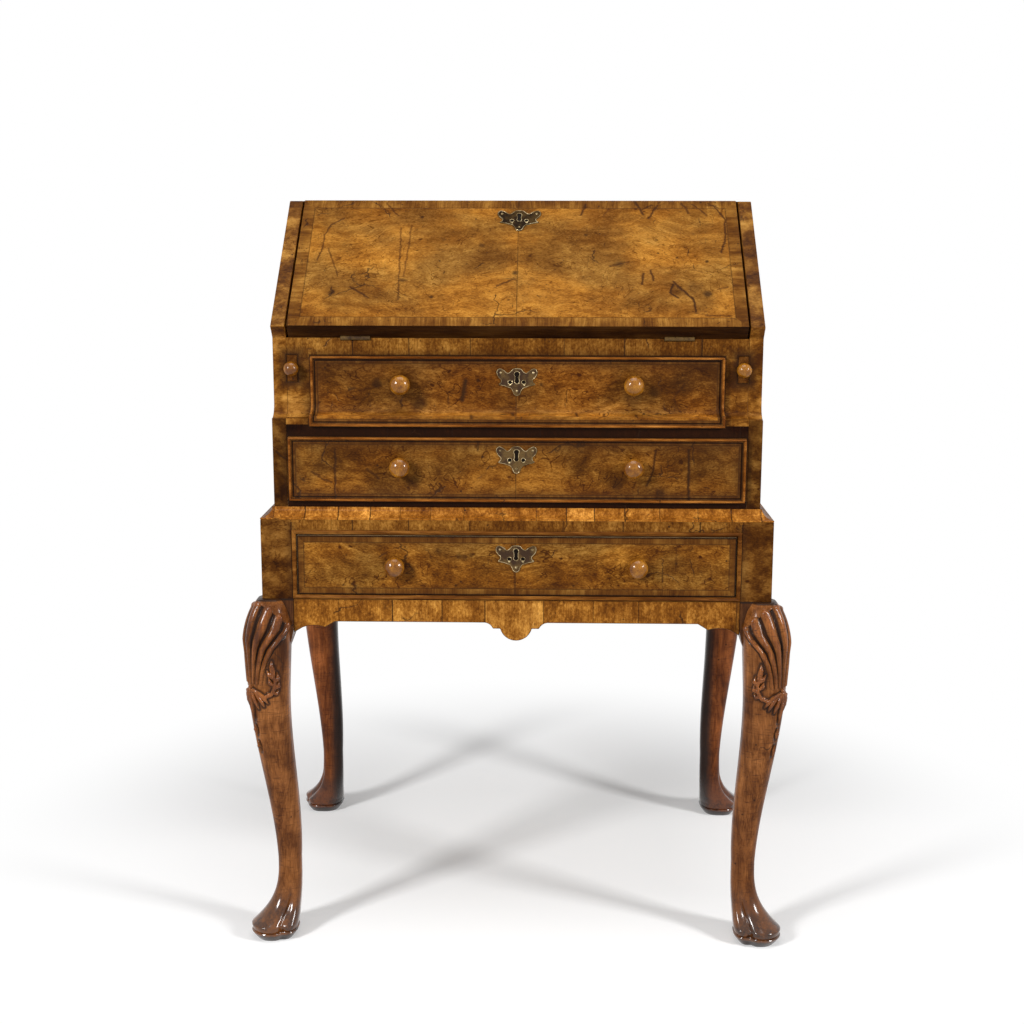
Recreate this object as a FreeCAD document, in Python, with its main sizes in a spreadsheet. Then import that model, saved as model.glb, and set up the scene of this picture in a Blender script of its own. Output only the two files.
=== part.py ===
import FreeCAD, Part
import math
import operator
import os

import Sketcher
from FreeCAD import Placement, Rotation, Vector

# Bureau on stand, in millimetres.
# The front faces -Y, X runs to the right and Z up. The origin lies on the floor, midway
# between the four legs.

# Driving sizes. Every other size of the bureau is worked out from these.
SIZES = {
    # stand
    "stand_width": 660.0,
    "stand_depth": 465.0,
    "stand_height": 575.0,
    "post_width": 40.0,
    "stand_board": 20.0,
    "stand_rail_height": 13.5,
    "stand_opening_height": 80.0,
    "bead_width": 5.5,
    "bead_depth": 13.0,
    "bead_proud": 1.5,
    "moulding_projection": 16.0,
    "moulding_height": 14.5,
    "moulding_fillet": 2.0,
    "runner_height": 15.0,
    "runner_width": 22.0,
    "guide_height": 16.0,
    # apron
    "apron_height": 30.5,
    "ear_height": 15.0,
    "ear_step": 8.0,
    "ear_sweep": 12.0,
    "ear_reach": 41.0,
    "ear_slope": 13.0,
    "pendant_half_width": 43.0,
    "pendant_step": 8.0,
    "pendant_step_width": 13.0,
    "pendant_flat_width": 9.5,
    "pendant_drop": 16.0,
    # leg
    "knee_rise": 30.0,
    "knee_drop": 52.0,
    "knee_width": 60.5,
    "knee_offset": 4.9,
    "ankle_height": 105.0,
    "ankle_width": 31.0,
    "ankle_offset": 23.1,
    "foot_width": 67.0,
    "foot_offset": 4.5,
    "pad_height": 12.0,
    "pad_undercut": 4.0,
    "leg_block_drop": 10.0,
    "leg_block_taper": 42.0,
    # case
    "case_board": 18.0,
    "case_bottom_lift": 4.5,
    "case_bottom_board": 20.0,
    "middle_opening_height": 79.5,
    "drawer_rail_height": 17.5,
    "drawer_rail_depth": 40.0,
    "dust_board": 11.0,
    "upper_opening_height": 84.5,
    "stile_width": 4.5,
    "stile_depth": 20.0,
    "step_depth": 18.6,
    "step_rise": 8.0,
    "hinge_rail_height": 25.0,
    "hinge_rail_depth": 60.0,
    "interior_height": 152.0,
    "case_top_board": 22.0,
    "case_back_board": 10.0,
    # fall
    "fall_thickness": 22.0,
    "fall_slope": 42.0,
    "fall_proud": 1.5,
    "fall_side_gap": 3.0,
    "fall_edge_gap": 0.3,
    # lopers
    "loper_guide_width": 32.5,
    "loper_width": 12.5,
    "loper_height": 33.5,
    "loper_length": 330.0,
    "loper_clearance": 0.4,
    "loper_knob_radius": 9.6,
    "loper_knob_projection": 18.0,
    # hinges
    "hinge_offset": 207.0,
    "hinge_width": 38.0,
    "hinge_leaf_length": 30.0,
    "hinge_leaf": 1.6,
    "hinge_knuckle_radius": 3.0,
    "hinge_pin_radius": 1.2,
    "hinge_clearance": 0.3,
    "pin_clearance": 0.05,
    # main drawers
    "front_board": 20.0,
    "lip_overlap": 2.0,
    "lip_thickness": 3.5,
    "rim_width": 4.5,
    "rim_height": 2.0,
    "drawer_side": 10.0,
    "drawer_back": 10.0,
    "drawer_bottom": 6.0,
    "bottom_rebate": 8.0,
    "drawer_side_gap": 1.0,
    "drawer_run_gap": 0.3,
    "drawer_top_gap": 1.2,
    "drawer_back_gap": 12.0,
    "dovetail_lap": 13.0,
    "flush_drawer_gap": 1.2,
    # knobs
    "knob_radius": 12.3,
    "knob_projection": 22.0,
    "knob_tenon_radius": 5.0,
    "knob_tenon_length": 14.0,
    "knob_tenon_clearance": 0.05,
    "case_knob_spacing": 299.0,
    "stand_knob_spacing": 313.0,
    "upper_knob_rise": 50.5,
    "middle_knob_rise": 43.5,
    "stand_knob_rise": 39.5,
    # locks and escutcheons
    "escutcheon_width": 52.0,
    "escutcheon_height": 36.5,
    "escutcheon_plate": 1.5,
    "fall_escutcheon_width": 58.0,
    "fall_escutcheon_height": 41.0,
    "escutcheon_hole_radius": 1.7,
    "keyhole_radius": 2.2,
    "keyhole_slot_width": 3.4,
    "keyhole_slot_length": 10.0,
    "upper_keyhole_drop": 24.0,
    "middle_keyhole_drop": 20.0,
    "stand_keyhole_drop": 24.0,
    "fall_keyhole_drop": 35.0,
    "lock_plate_width": 62.0,
    "lock_plate": 1.5,
    "lock_width": 46.0,
    "lock_height": 38.0,
    "lock_depth": 9.5,
    "bolt_width": 14.0,
    "bolt_thickness": 4.0,
    # interior gallery
    "gallery_setback": 41.6,
    "gallery_board": 7.0,
    "gallery_drawer_height": 58.0,
    "small_drawer_width": 200.0,
    "small_drawer_back_gap": 20.0,
    "small_front_board": 12.0,
    "small_side_board": 5.0,
    "small_bottom_board": 3.5,
    "small_drawer_gap": 0.6,
    "small_knob_radius": 6.5,
    "small_knob_projection": 13.0,
    # one overrun for every cut
    "overrun": 5.0,
}

# Shares, chosen by hand, of the sizes that they follow.
KNEE_CAP_SHARE = 0.85
KNEE_LEAN_SHARE = 0.86
SHAFT_STRAIGHT_SHARE = 0.2
CORNER_ROUND_SHARE = 0.42
CORNER_BEVEL_SHARE = 1 - math.sqrt(0.5)
BLOCK_TAPER_SHARE = 0.34
# How sharply the foot flares, and how many sections each stretch of the leg has.
FOOT_FLARE = 3.4
KNEE_STEPS = 5
SHAFT_STEPS = 9
FOOT_STEPS = 7
TAIL_END_SHARE = 0.62
TAIL_BASE_SHARE = 0.46
TAIL_COUNT = 3
KNOB_NECK_SHARE = 0.46
# The knob's widest ring and the rim of its crown: how far out and how wide.
KNOB_HEAD_SHARES = [(0.68, 1.00), (1.00, 0.66)]
# The right half of an escutcheon: across as shares of half its width, and up as shares of
# its height from its lowest point.
ESCUTCHEON_SHARES = [
    (0.00, 0.00), (0.14, 0.035), (0.19, 0.14), (0.32, 0.20), (0.42, 0.29), (0.60, 0.34), (0.90, 0.39),
    (0.73, 0.46), (0.74, 0.56), (0.95, 0.72), (1.00, 0.84), (0.93, 0.95), (0.79, 0.98), (0.64, 0.91),
    (0.44, 0.79), (0.27, 0.88), (0.11, 1.00),
]
# The scroll pierced in each half of it, in the same way.
ESCUTCHEON_HOLE_SHARES = [(0.26, 0.42), (0.40, 0.38), (0.52, 0.46), (0.46, 0.56), (0.38, 0.50)]
KEYHOLE_RISE_SHARE = 0.63

ORIGIN_ROLES = {"X": "YZ_Plane", "Y": "XZ_Plane", "Z": "XY_Plane"}
NORMAL_SIGNS = {"X": 1, "Y": -1, "Z": 1}
OPERATIONS = {"+": operator.add, "-": operator.sub, "*": operator.mul, "/": operator.truediv}

doc = FreeCAD.newDocument("bureau_on_stand")
sheet = doc.addObject("Spreadsheet::Sheet", "sizes")


# A size knows its number and the formula that the document binds to.
class Size:
    def __init__(self, number, formula):
        self.number = number
        self.formula = formula

    def __add__(self, other):
        return combine(self, other, "+")

    def __radd__(self, other):
        return combine(other, self, "+")

    def __sub__(self, other):
        return combine(self, other, "-")

    def __rsub__(self, other):
        return combine(other, self, "-")

    def __mul__(self, other):
        return combine(self, other, "*")

    def __rmul__(self, other):
        return combine(other, self, "*")

    def __truediv__(self, other):
        return combine(self, other, "/")

    def __neg__(self):
        return combine(-1, self, "*")


def as_size(value):
    return value if isinstance(value, Size) else Size(float(value), repr(float(value)))


def combine(left, right, sign):
    left = as_size(left)
    right = as_size(right)
    number = OPERATIONS[sign](left.number, right.number)
    return Size(number, "(" + left.formula + " " + sign + " " + right.formula + ")")


def sine(angle):
    return Size(math.sin(math.radians(angle.number)), "sin(" + angle.formula + ")")


def cosine(angle):
    return Size(math.cos(math.radians(angle.number)), "cos(" + angle.formula + ")")


# Each driving size as an attribute, such as d.stand_width.
class DrivingSizes:
    def __init__(self, table):
        for row, (alias, number) in enumerate(table.items(), start=1):
            sheet.set("A%d" % row, alias.replace("_", " "))
            sheet.set("B%d" % row, str(number))
            sheet.setAlias("B%d" % row, alias)
            setattr(self, alias, Size(number, "sizes." + alias))


d = DrivingSizes(SIZES)
doc.recompute()


# Sketches, and the features that are made from them
def origin_plane(body, axis):
    role = ORIGIN_ROLES[axis]
    return next(plane for plane in body.Origin.OriginFeatures if plane.Role == role)


def new_body(label):
    body = doc.addObject("PartDesign::Body", label)
    body.Label = label
    return body


def bind(target, path, size):
    target.setExpression(path, as_size(size).formula)


def new_sketch(body, axis, at, centre=None):
    sketch = body.newObject("Sketcher::SketchObject", "sketch")
    sketch.AttachmentSupport = [(origin_plane(body, axis), "")]
    sketch.MapMode = "FlatFace"
    offset = at * NORMAL_SIGNS[axis]
    bind(sketch, "AttachmentOffset.Base.z", offset)
    if centre:
        bind(sketch, "AttachmentOffset.Base.x", centre[0])
        bind(sketch, "AttachmentOffset.Base.y", centre[1])
    return sketch


def pin_point(sketch, edge, end, x, y):
    for kind, size in (("DistanceX", x), ("DistanceY", y)):
        size = as_size(size)
        index = sketch.addConstraint(Sketcher.Constraint(kind, -1, 1, edge, end, size.number))
        bind(sketch, "Constraints[%d]" % index, size)


def arc_edge(start, end, radius):
    # a short arc from start to end, to the left for a positive radius and to the right for a
    # negative one
    chord = end - start
    reach = abs(radius)
    rise = math.sqrt(max(reach ** 2 - (chord.Length / 2) ** 2, 0.0))
    side = Vector(-chord.y, chord.x, 0).normalize() * math.copysign(rise, radius)
    centre = (start + end) / 2 + side
    circle = Part.Circle(centre, Vector(0, 0, 1), reach)
    first, last = (start, end) if radius > 0 else (end, start)
    angles = [math.atan2(point.y - centre.y, point.x - centre.x) for point in (first, last)]
    return Part.ArcOfCircle(circle, angles[0], angles[1])


def draw_loop(sketch, points):
    # each point is (x, y), or (x, y, radius) where an arc leads on to the next point
    first_edge = sketch.GeometryCount
    corners = [Vector(as_size(point[0]).number, as_size(point[1]).number, 0) for point in points]
    ends = []
    for index, point in enumerate(points):
        start = corners[index]
        end = corners[(index + 1) % len(points)]
        if len(point) == 2:
            sketch.addGeometry(Part.LineSegment(start, end), False)
            ends.append((1, 2))
        else:
            sketch.addGeometry(arc_edge(start, end, point[2].number), False)
            ends.append((1, 2) if point[2].number > 0 else (2, 1))
    for index, point in enumerate(points):
        edge = first_edge + index
        following = (index + 1) % len(points)
        meeting = first_edge + following
        joint = Sketcher.Constraint("Coincident", edge, ends[index][1], meeting, ends[following][0])
        sketch.addConstraint(joint)
        pin_point(sketch, edge, ends[index][0], point[0], point[1])
        if len(point) == 3:
            radius = point[2] if point[2].number > 0 else -point[2]
            number = sketch.addConstraint(Sketcher.Constraint("Radius", edge, radius.number))
            bind(sketch, "Constraints[%d]" % number, radius)


def draw_circle(sketch, x, y, radius):
    centre = Vector(as_size(x).number, as_size(y).number, 0)
    edge = sketch.addGeometry(Part.Circle(centre, Vector(0, 0, 1), radius.number), False)
    pin_point(sketch, edge, 3, x, y)
    index = sketch.addConstraint(Sketcher.Constraint("Radius", edge, radius.number))
    bind(sketch, "Constraints[%d]" % index, radius)


def extrude(body, kind, axis, low, high, loops, circles):
    # a pad runs along its sketch's normal and a pocket against it
    forwards = (NORMAL_SIGNS[axis] > 0) == (kind == "PartDesign::Pad")
    sketch = new_sketch(body, axis, low if forwards else high)
    for points in loops:
        draw_loop(sketch, points)
    for x, y, radius in circles:
        draw_circle(sketch, x, y, radius)
    feature = body.newObject(kind, "feature")
    feature.Profile = sketch
    bind(feature, "Length", high - low)
    body.Tip = feature
    return feature


def add(body, axis, low, high, *loops, circles=()):
    return extrude(body, "PartDesign::Pad", axis, low, high, loops, circles)


def cut(body, axis, low, high, *loops, circles=()):
    feature = extrude(body, "PartDesign::Pocket", axis, low, high, loops, circles)
    cuts.append(feature)
    return feature


def mirror(body, axis, *features):
    copy = body.newObject("PartDesign::Mirrored", "mirrored")
    copy.Originals = list(features)
    copy.MirrorPlane = (origin_plane(body, axis), [""])
    body.Tip = copy
    return copy


def turn_on_lathe(body, axis, at, centre, points):
    # the profile turns about its sketch's own horizontal axis
    sketch = new_sketch(body, axis, at, centre)
    draw_loop(sketch, points)
    feature = body.newObject("PartDesign::Revolution", "turning")
    feature.Profile = sketch
    feature.ReferenceAxis = (sketch, ["H_Axis"])
    feature.Angle = 360
    body.Tip = feature
    return feature


def loft(body, sections):
    feature = body.newObject("PartDesign::AdditiveLoft", "loft")
    feature.Profile = sections[0]
    feature.Sections = sections[1:]
    feature.Ruled = True
    body.Tip = feature
    return feature


def rectangle(x_low, x_high, y_low, y_high):
    return [(x_low, y_low), (x_high, y_low), (x_high, y_high), (x_low, y_high)]


def span(side, inner, outer):
    # a stretch along X, on the right for side 1 and on the left for side -1
    return (inner, outer) if side > 0 else (-outer, -inner)


def board(label, axis, low, high, points):
    body = new_body(label)
    add(body, axis, low, high, points)
    return body


cuts = []
SIDES = {"left": -1, "right": 1}

# Places that several pieces share
stand_half = d.stand_width / 2
stand_front = -d.stand_depth / 2
stand_rear = d.stand_depth / 2
post_inner = stand_half - d.post_width
bead_outer_half = post_inner
bead_top = d.stand_height - d.stand_rail_height
stand_opening_high = bead_top - d.bead_width
stand_opening_low = stand_opening_high - d.stand_opening_height
apron_top = stand_opening_low - d.bead_width
apron_low = apron_top - d.apron_height
stand_opening_half = bead_outer_half - d.bead_width
knee_top = apron_low + d.knee_rise
knee_height = knee_top - d.knee_drop
leg_block_height = apron_low - d.leg_block_drop
leg_block_end = leg_block_height - d.leg_block_taper

case_half = stand_half - d.moulding_projection
case_inner_half = case_half - d.case_board
lower_front = stand_front + d.moulding_projection
upper_front = lower_front + d.step_depth
case_inner_rear = stand_rear - d.case_back_board
middle_low = d.stand_height + d.case_bottom_lift + d.case_bottom_board
middle_high = middle_low + d.middle_opening_height
upper_low = middle_high + d.drawer_rail_height
upper_high = upper_low + d.upper_opening_height
bed_top = upper_high + d.hinge_rail_height
bed_low = bed_top - d.fall_thickness
interior_top = bed_top + d.interior_height
case_top = interior_top + d.case_top_board
step_low = upper_low + d.step_rise
step_high = step_low + d.step_depth
upper_half = case_inner_half - d.loper_guide_width
middle_half = case_inner_half - d.stile_width

# Places along the fall: along is measured up its slope from the hinge line, and out is
# measured square to its inner face
slope_sine = sine(d.fall_slope)
slope_cosine = cosine(d.fall_slope)
side_slope_out = d.fall_thickness - d.fall_proud
fall_length = (case_top - bed_top - side_slope_out * slope_cosine) / slope_sine


def on_slope(along, out):
    depth = upper_front + along * slope_cosine - out * slope_sine
    height = bed_top + along * slope_sine + out * slope_cosine
    return depth, height


def stepped_front(offset):
    # the step and its hollow, from the top down, this far in front of the case
    path = [(upper_front - offset, step_high, offset - d.step_depth), (lower_front, step_low + offset)]
    if offset.number > 0:
        path.append((lower_front - offset, step_low + offset))
    return path


def stepped_back(offset):
    # the same path from the bottom up
    path = [(lower_front, step_low + offset, d.step_depth - offset), (upper_front - offset, step_high)]
    if offset.number > 0:
        path.insert(0, (lower_front - offset, step_low + offset))
    return path


# Legs
def leg_section(body, height, offset, width):
    # a square with rounded corners, each in two facets, this far in from the leg's corner
    sketch = new_sketch(body, "Z", height)
    half = width / 2
    inset = half - width * CORNER_ROUND_SHARE
    bevel = half - width * CORNER_ROUND_SHARE * CORNER_BEVEL_SHARE
    corner = [(half, inset), (bevel, bevel), (inset, half)]
    outline = []
    for _ in range(4):
        outline += [(x - offset, y - offset) for x, y in corner]
        corner = [(-y, x) for x, y in corner]
    draw_loop(sketch, outline)
    return sketch


def between(first, last, share):
    return first + (last - first) * share


def ease(share):
    return share * share * (3 - 2 * share)


def leg_sections(body):
    # from the knee's rounded top, down the shaft to the ankle, and out to the foot and its pad
    sections = []
    for step in range(KNEE_STEPS, 0, -1):
        up = step / KNEE_STEPS
        narrow = math.sqrt(1 - (KNEE_CAP_SHARE * up) ** 2)
        sections.append(leg_section(body, between(knee_height, knee_top, up),
                                    d.knee_offset * (1 + KNEE_LEAN_SHARE * up), d.knee_width * narrow))
    for step in range(SHAFT_STEPS):
        down = step / SHAFT_STEPS
        shift = ease(max(down - SHAFT_STRAIGHT_SHARE, 0) / (1 - SHAFT_STRAIGHT_SHARE))
        sections.append(leg_section(body, between(knee_height, d.ankle_height, down),
                                    between(d.knee_offset, d.ankle_offset, shift),
                                    between(d.knee_width, d.ankle_width, down)))
    for step in range(FOOT_STEPS + 1):
        down = math.sqrt(step / FOOT_STEPS)
        flare = down ** FOOT_FLARE
        sections.append(leg_section(body, between(d.ankle_height, d.pad_height, down),
                                    between(d.ankle_offset, d.foot_offset, flare),
                                    between(d.ankle_width, d.foot_width, flare)))
    sections.append(leg_section(body, as_size(0), d.foot_offset, d.foot_width - d.pad_undercut * 2))
    return sections


def leg(label, angle, corner_x, corner_y):
    # The leg's own frame has the stand's outer corner at its origin, with both outer faces
    # towards +X and +Y, and it is turned into its place.
    body = new_body(label)
    inner = -d.post_width
    tapered = inner + d.post_width * BLOCK_TAPER_SHARE
    add(body, "Z", leg_block_height, d.stand_height, rectangle(inner, 0, inner, 0))
    add(body, "Y", inner, as_size(0), [
        (inner, leg_block_height), (tapered, leg_block_end),
        (0, leg_block_end), (0, leg_block_height)])
    cut(body, "X", inner - d.overrun, d.overrun, [
        (inner, leg_block_height), (inner - d.overrun, leg_block_height),
        (inner - d.overrun, leg_block_end - d.overrun), (tapered, leg_block_end - d.overrun),
        (tapered, leg_block_end)])
    sections = leg_sections(body)
    loft(body, sections)
    body.Placement = Placement(Vector(0, 0, 0), Rotation(Vector(0, 0, 1), angle))
    bind(body, "Placement.Base.x", corner_x)
    bind(body, "Placement.Base.y", corner_y)
    return body


leg("front_left_leg", 180, -stand_half, stand_front)
leg("front_right_leg", -90, stand_half, stand_front)
leg("back_left_leg", 90, -stand_half, stand_rear)
leg("back_right_leg", 0, stand_half, stand_rear)


# Stand
def eared_edge(half, low, ear_low):
    # a rail's lower edge from its left end to its right, with an ear at each leg
    step = ear_low + d.ear_height - d.ear_step
    inner = half - d.ear_reach - d.ear_slope
    flat = half - d.ear_reach
    sweep = half - d.ear_sweep
    left = [(-half, ear_low), (-sweep, step, -d.ear_reach), (-flat, step), (-inner, low)]
    right = [(inner, low), (flat, step, -d.ear_reach), (sweep, step), (half, ear_low)]
    return left, right


def apron_outline():
    left, right = eared_edge(post_inner, apron_low, apron_low - d.ear_height)
    step = apron_low - d.pendant_step
    outer = d.pendant_half_width
    shoulder = outer - d.pendant_step_width
    lobe = shoulder - d.pendant_flat_width
    lobe_radius = (lobe * lobe + d.pendant_drop * d.pendant_drop) / (d.pendant_drop * 2)
    pendant = [
        (-outer, apron_low, -d.pendant_step_width), (-shoulder, step),
        (-lobe, step, lobe_radius), (lobe, step), (shoulder, step, -d.pendant_step_width), (outer, apron_low),
    ]
    return left + pendant + right + [(post_inner, apron_top), (-post_inner, apron_top)]


board("apron", "Y", stand_front, stand_front + d.stand_board, apron_outline())
board("stand_top_rail", "Y", stand_front, stand_front + d.stand_board,
      rectangle(-post_inner, post_inner, bead_top, d.stand_height))

side_half = stand_rear - d.post_width
for name, side in SIDES.items():
    left, right = eared_edge(side_half, apron_low, apron_low - d.ear_height)
    low, high = span(side, stand_half - d.stand_board, stand_half)
    board("stand_%s_side" % name, "X", low, high,
          left + right + [(side_half, d.stand_height), (-side_half, d.stand_height)])

board("stand_back_rail", "Y", stand_rear - d.stand_board, stand_rear,
      rectangle(-post_inner, post_inner, apron_low, d.stand_height))

# The bead round the stand's drawer opening: mitred strips with a rounded nose
nose_radius = d.bead_width / 2
nose_end = stand_front - d.bead_proud + nose_radius
bead_rear = stand_front + d.bead_depth


def bead_section(low, high, upright):
    # the strip's section, with its nose towards the front
    nose = (low + nose_radius, nose_end - nose_radius)
    if upright:
        return [(low, bead_rear), (low, nose_end, nose_radius), nose + (nose_radius,), (high, nose_end),
                (high, bead_rear)]
    return [(bead_rear, low), (nose_end, low, -nose_radius), (nose[1], nose[0], -nose_radius),
            (nose_end, high), (bead_rear, high)]


bead_rails = new_body("stand_bead_rails")
bead_sides = new_body("stand_bead_sides")
inside = stand_opening_half - d.overrun
outside = bead_outer_half + d.overrun
for low, high, inner_low, outer_high in (
        (apron_top, stand_opening_low, stand_opening_low + d.overrun, apron_top - d.overrun),
        (stand_opening_high, bead_top, stand_opening_high - d.overrun, bead_top + d.overrun)):
    add(bead_rails, "X", -bead_outer_half, bead_outer_half, bead_section(low, high, False))
    mitre = cut(bead_rails, "Y", stand_front - d.overrun, bead_rear + d.overrun,
                [(inside, inner_low), (outside, inner_low), (outside, outer_high)])
    mirror(bead_rails, "X", mitre)
strip = [add(bead_sides, "Z", apron_top, bead_top, bead_section(stand_opening_half, bead_outer_half, True))]
for inner, outer in ((stand_opening_low + d.overrun, apron_top - d.overrun),
                     (stand_opening_high - d.overrun, bead_top + d.overrun)):
    strip.append(cut(bead_sides, "Y", stand_front - d.overrun, bead_rear + d.overrun,
                     [(inside, inner), (outside, outer), (inside, outer)]))
mirror(bead_sides, "X", *strip)

# Runner and guide of the stand's drawer, in one rebated strip on each side
runners = new_body("stand_drawer_runners")
runner_outer = stand_half - d.stand_board
runner_inner = stand_opening_half - d.runner_width
runner_low = stand_opening_low - d.runner_height
guide_high = stand_opening_low + d.guide_height
runner = add(runners, "Y", -side_half, side_half, [
    (runner_inner, runner_low), (runner_outer, runner_low),
    (runner_outer, guide_high), (stand_opening_half, guide_high),
    (stand_opening_half, stand_opening_low), (runner_inner, stand_opening_low),
])
mirror(runners, "X", runner)

# Moulding: a hollow that climbs from the stand's edge to the case, mitred at the corners
moulding_top = d.stand_height + d.moulding_height
hollow_run = d.moulding_projection - d.moulding_fillet
hollow_rise = d.moulding_height - d.moulding_fillet
hollow_radius = (hollow_run * hollow_run + hollow_rise * hollow_rise) / (hollow_rise * 2)


def moulding_section(face, outward):
    # face is where the case stands, and outward is the way that the moulding projects
    edge = face + d.moulding_projection * outward
    shoulder = face + d.moulding_fillet * outward
    return [
        (face, d.stand_height), (edge, d.stand_height),
        (edge, d.stand_height + d.moulding_fillet, hollow_radius * -outward),
        (shoulder, moulding_top), (face, moulding_top),
    ]


front_moulding = new_body("stand_front_moulding")
side_mouldings = new_body("stand_side_mouldings")
add(front_moulding, "X", -stand_half, stand_half, moulding_section(lower_front, -1))
side_length = add(side_mouldings, "Y", stand_front, stand_rear, moulding_section(case_half, 1))
mitre_inner = (case_half - d.overrun, lower_front + d.overrun)
mitre_outer = (stand_half + d.overrun, stand_front - d.overrun)
mirror(front_moulding, "X", cut(front_moulding, "Z", d.stand_height - d.overrun, moulding_top + d.overrun,
                                [mitre_inner, mitre_outer, (mitre_outer[0], mitre_inner[1])]))
mirror(side_mouldings, "X", side_length,
       cut(side_mouldings, "Z", d.stand_height - d.overrun, moulding_top + d.overrun,
           [mitre_inner, (mitre_inner[0], mitre_outer[1]), mitre_outer]))

# Case
def side_outline():
    lower_arris = on_slope(as_size(0), side_slope_out)
    upper_arris = on_slope(fall_length, side_slope_out)
    front = [(upper_front, bed_top)] + stepped_front(as_size(0))
    foot = [(lower_front, d.stand_height), (stand_rear, d.stand_height)]
    head = [(stand_rear, case_top), upper_arris, lower_arris]
    return front + foot + head


for name, side in SIDES.items():
    low, high = span(side, case_inner_half, case_half)
    board("case_%s_side" % name, "X", low, high, side_outline())

case_bottom_low = d.stand_height + d.case_bottom_lift
board("case_bottom", "X", -case_inner_half, case_inner_half,
      rectangle(lower_front, case_inner_rear, case_bottom_low, middle_low))

board("case_back", "Y", case_inner_rear, stand_rear,
      rectangle(-case_inner_half, case_inner_half, d.stand_height, interior_top))

# The top's front edge is cut square to the fall, with a ledge that the fall closes on
ledge_foot_along = (interior_top - bed_top + d.fall_edge_gap * slope_cosine) / slope_sine
board("case_top", "X", -case_inner_half, case_inner_half, [
    (stand_rear, interior_top), (stand_rear, case_top), on_slope(fall_length, side_slope_out),
    on_slope(fall_length, -d.fall_edge_gap), on_slope(ledge_foot_along, -d.fall_edge_gap),
])

drawer_rail_rear = lower_front + d.drawer_rail_depth
board("drawer_rail", "X", -case_inner_half, case_inner_half,
      rectangle(lower_front, drawer_rail_rear, middle_high, upper_low))
board("dust_board", "X", -case_inner_half, case_inner_half,
      rectangle(drawer_rail_rear, case_inner_rear, upper_low - d.dust_board, upper_low))

stiles = new_body("lower_stiles")
stile = add(stiles, "Z", middle_low, middle_high,
            rectangle(middle_half, case_inner_half, lower_front, lower_front + d.stile_depth))
mirror(stiles, "X", stile)

hinge_rail_rear = upper_front + d.hinge_rail_depth
hinge_rail = board("hinge_rail", "X", -case_inner_half, case_inner_half,
                   rectangle(upper_front, hinge_rail_rear, upper_high, bed_top))
board("writing_bed", "X", -case_inner_half, case_inner_half,
      rectangle(hinge_rail_rear, case_inner_rear, bed_low, bed_top))

# Loper guides: a block on each side of the upper drawer, rebated for the loper. The loper's top
# lies level with the underside of the opened fall, so the hinge rail is notched above it.
loper_high = bed_low - d.loper_clearance
loper_low = loper_high - d.loper_height
slot_low = loper_low - d.loper_clearance
slot_inner = case_inner_half - d.loper_width - d.loper_clearance * 2
guides = new_body("loper_guides")
guide = add(guides, "X", upper_half, case_inner_half, [
    (upper_front, upper_high)] + stepped_front(as_size(0)) + [
    (lower_front, upper_low), (case_inner_rear, upper_low), (case_inner_rear, bed_low),
    (hinge_rail_rear, bed_low), (hinge_rail_rear, upper_high)])
slot = cut(guides, "Y", lower_front - d.overrun, case_inner_rear + d.overrun,
           rectangle(slot_inner, case_inner_half + d.overrun, slot_low, bed_low + d.overrun))
mirror(guides, "X", guide, slot)
notch = cut(hinge_rail, "Y", upper_front - d.overrun, hinge_rail_rear + d.overrun,
            rectangle(slot_inner, case_inner_half + d.overrun, upper_high - d.overrun, bed_low))
mirror(hinge_rail, "X", notch)


# Knobs
def knob_head(radius, projection):
    # from the neck at the face that the knob stands on, out to the middle of its crown
    head = [(0, radius * KNOB_NECK_SHARE)]
    head += [(-projection * out, radius * wide) for out, wide in KNOB_HEAD_SHARES]
    return head + [(-projection, 0)]


def eight_sides(x, z, radius):
    # the outline of a tenon that is whittled to eight sides, or of its hole
    angles = [math.radians(45 * side + 22.5) for side in range(8)]
    return [(x + radius * math.cos(angle), z + radius * math.sin(angle)) for angle in angles]


def turned_knobs(label, x, face, height):
    # a pair of knobs, each with a tenon let into the drawer front
    body = new_body(label)
    head = turn_on_lathe(body, "X", x, (face, height), [(0, 0)] + knob_head(d.knob_radius, d.knob_projection))
    tenon = add(body, "Y", face, face + d.knob_tenon_length,
                eight_sides(x, height, d.knob_tenon_radius - d.knob_tenon_clearance))
    mirror(body, "X", head, tenon)


# Lopers, each with a knob
loper_inner = slot_inner + d.loper_clearance
loper_middle = loper_inner + d.loper_width / 2
for name, side in SIDES.items():
    low, high = span(side, loper_inner, loper_inner + d.loper_width)
    loper = board("%s_loper" % name, "X", low, high,
                  rectangle(upper_front, upper_front + d.loper_length, loper_low, loper_high))
    turn_on_lathe(loper, "X", loper_middle * side, (upper_front, (loper_low + loper_high) / 2),
                  [(0, 0)] + knob_head(d.loper_knob_radius, d.loper_knob_projection))


# Escutcheons and locks
def escutcheon_outline(width, height, low):
    half = [(width / 2 * across, low + height * up) for across, up in ESCUTCHEON_SHARES]
    other = [(-x, y) for x, y in reversed(half[1:])]
    return half + other


def keyhole_outline(centre):
    # a round hole with a slot below it, drawn as one outline
    half = d.keyhole_slot_width / 2
    rise = Size(math.sqrt(d.keyhole_radius.number ** 2 - half.number ** 2),
                "sqrt(sizes.keyhole_radius ^ 2 - (%s) ^ 2)" % half.formula)
    low = centre - d.keyhole_slot_length
    return [
        (-half, low), (half, low), (half, centre - rise, d.keyhole_radius),
        (d.keyhole_radius, centre, d.keyhole_radius), (0, centre + d.keyhole_radius, d.keyhole_radius),
        (-d.keyhole_radius, centre, d.keyhole_radius), (-half, centre - rise),
    ]


def scroll_holes(width, height, low):
    # the two scrolls that are pierced in the plate
    half = [(width / 2 * across, low + height * up) for across, up in ESCUTCHEON_HOLE_SHARES]
    return half, [(-x, y) for x, y in reversed(half)]


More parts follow.
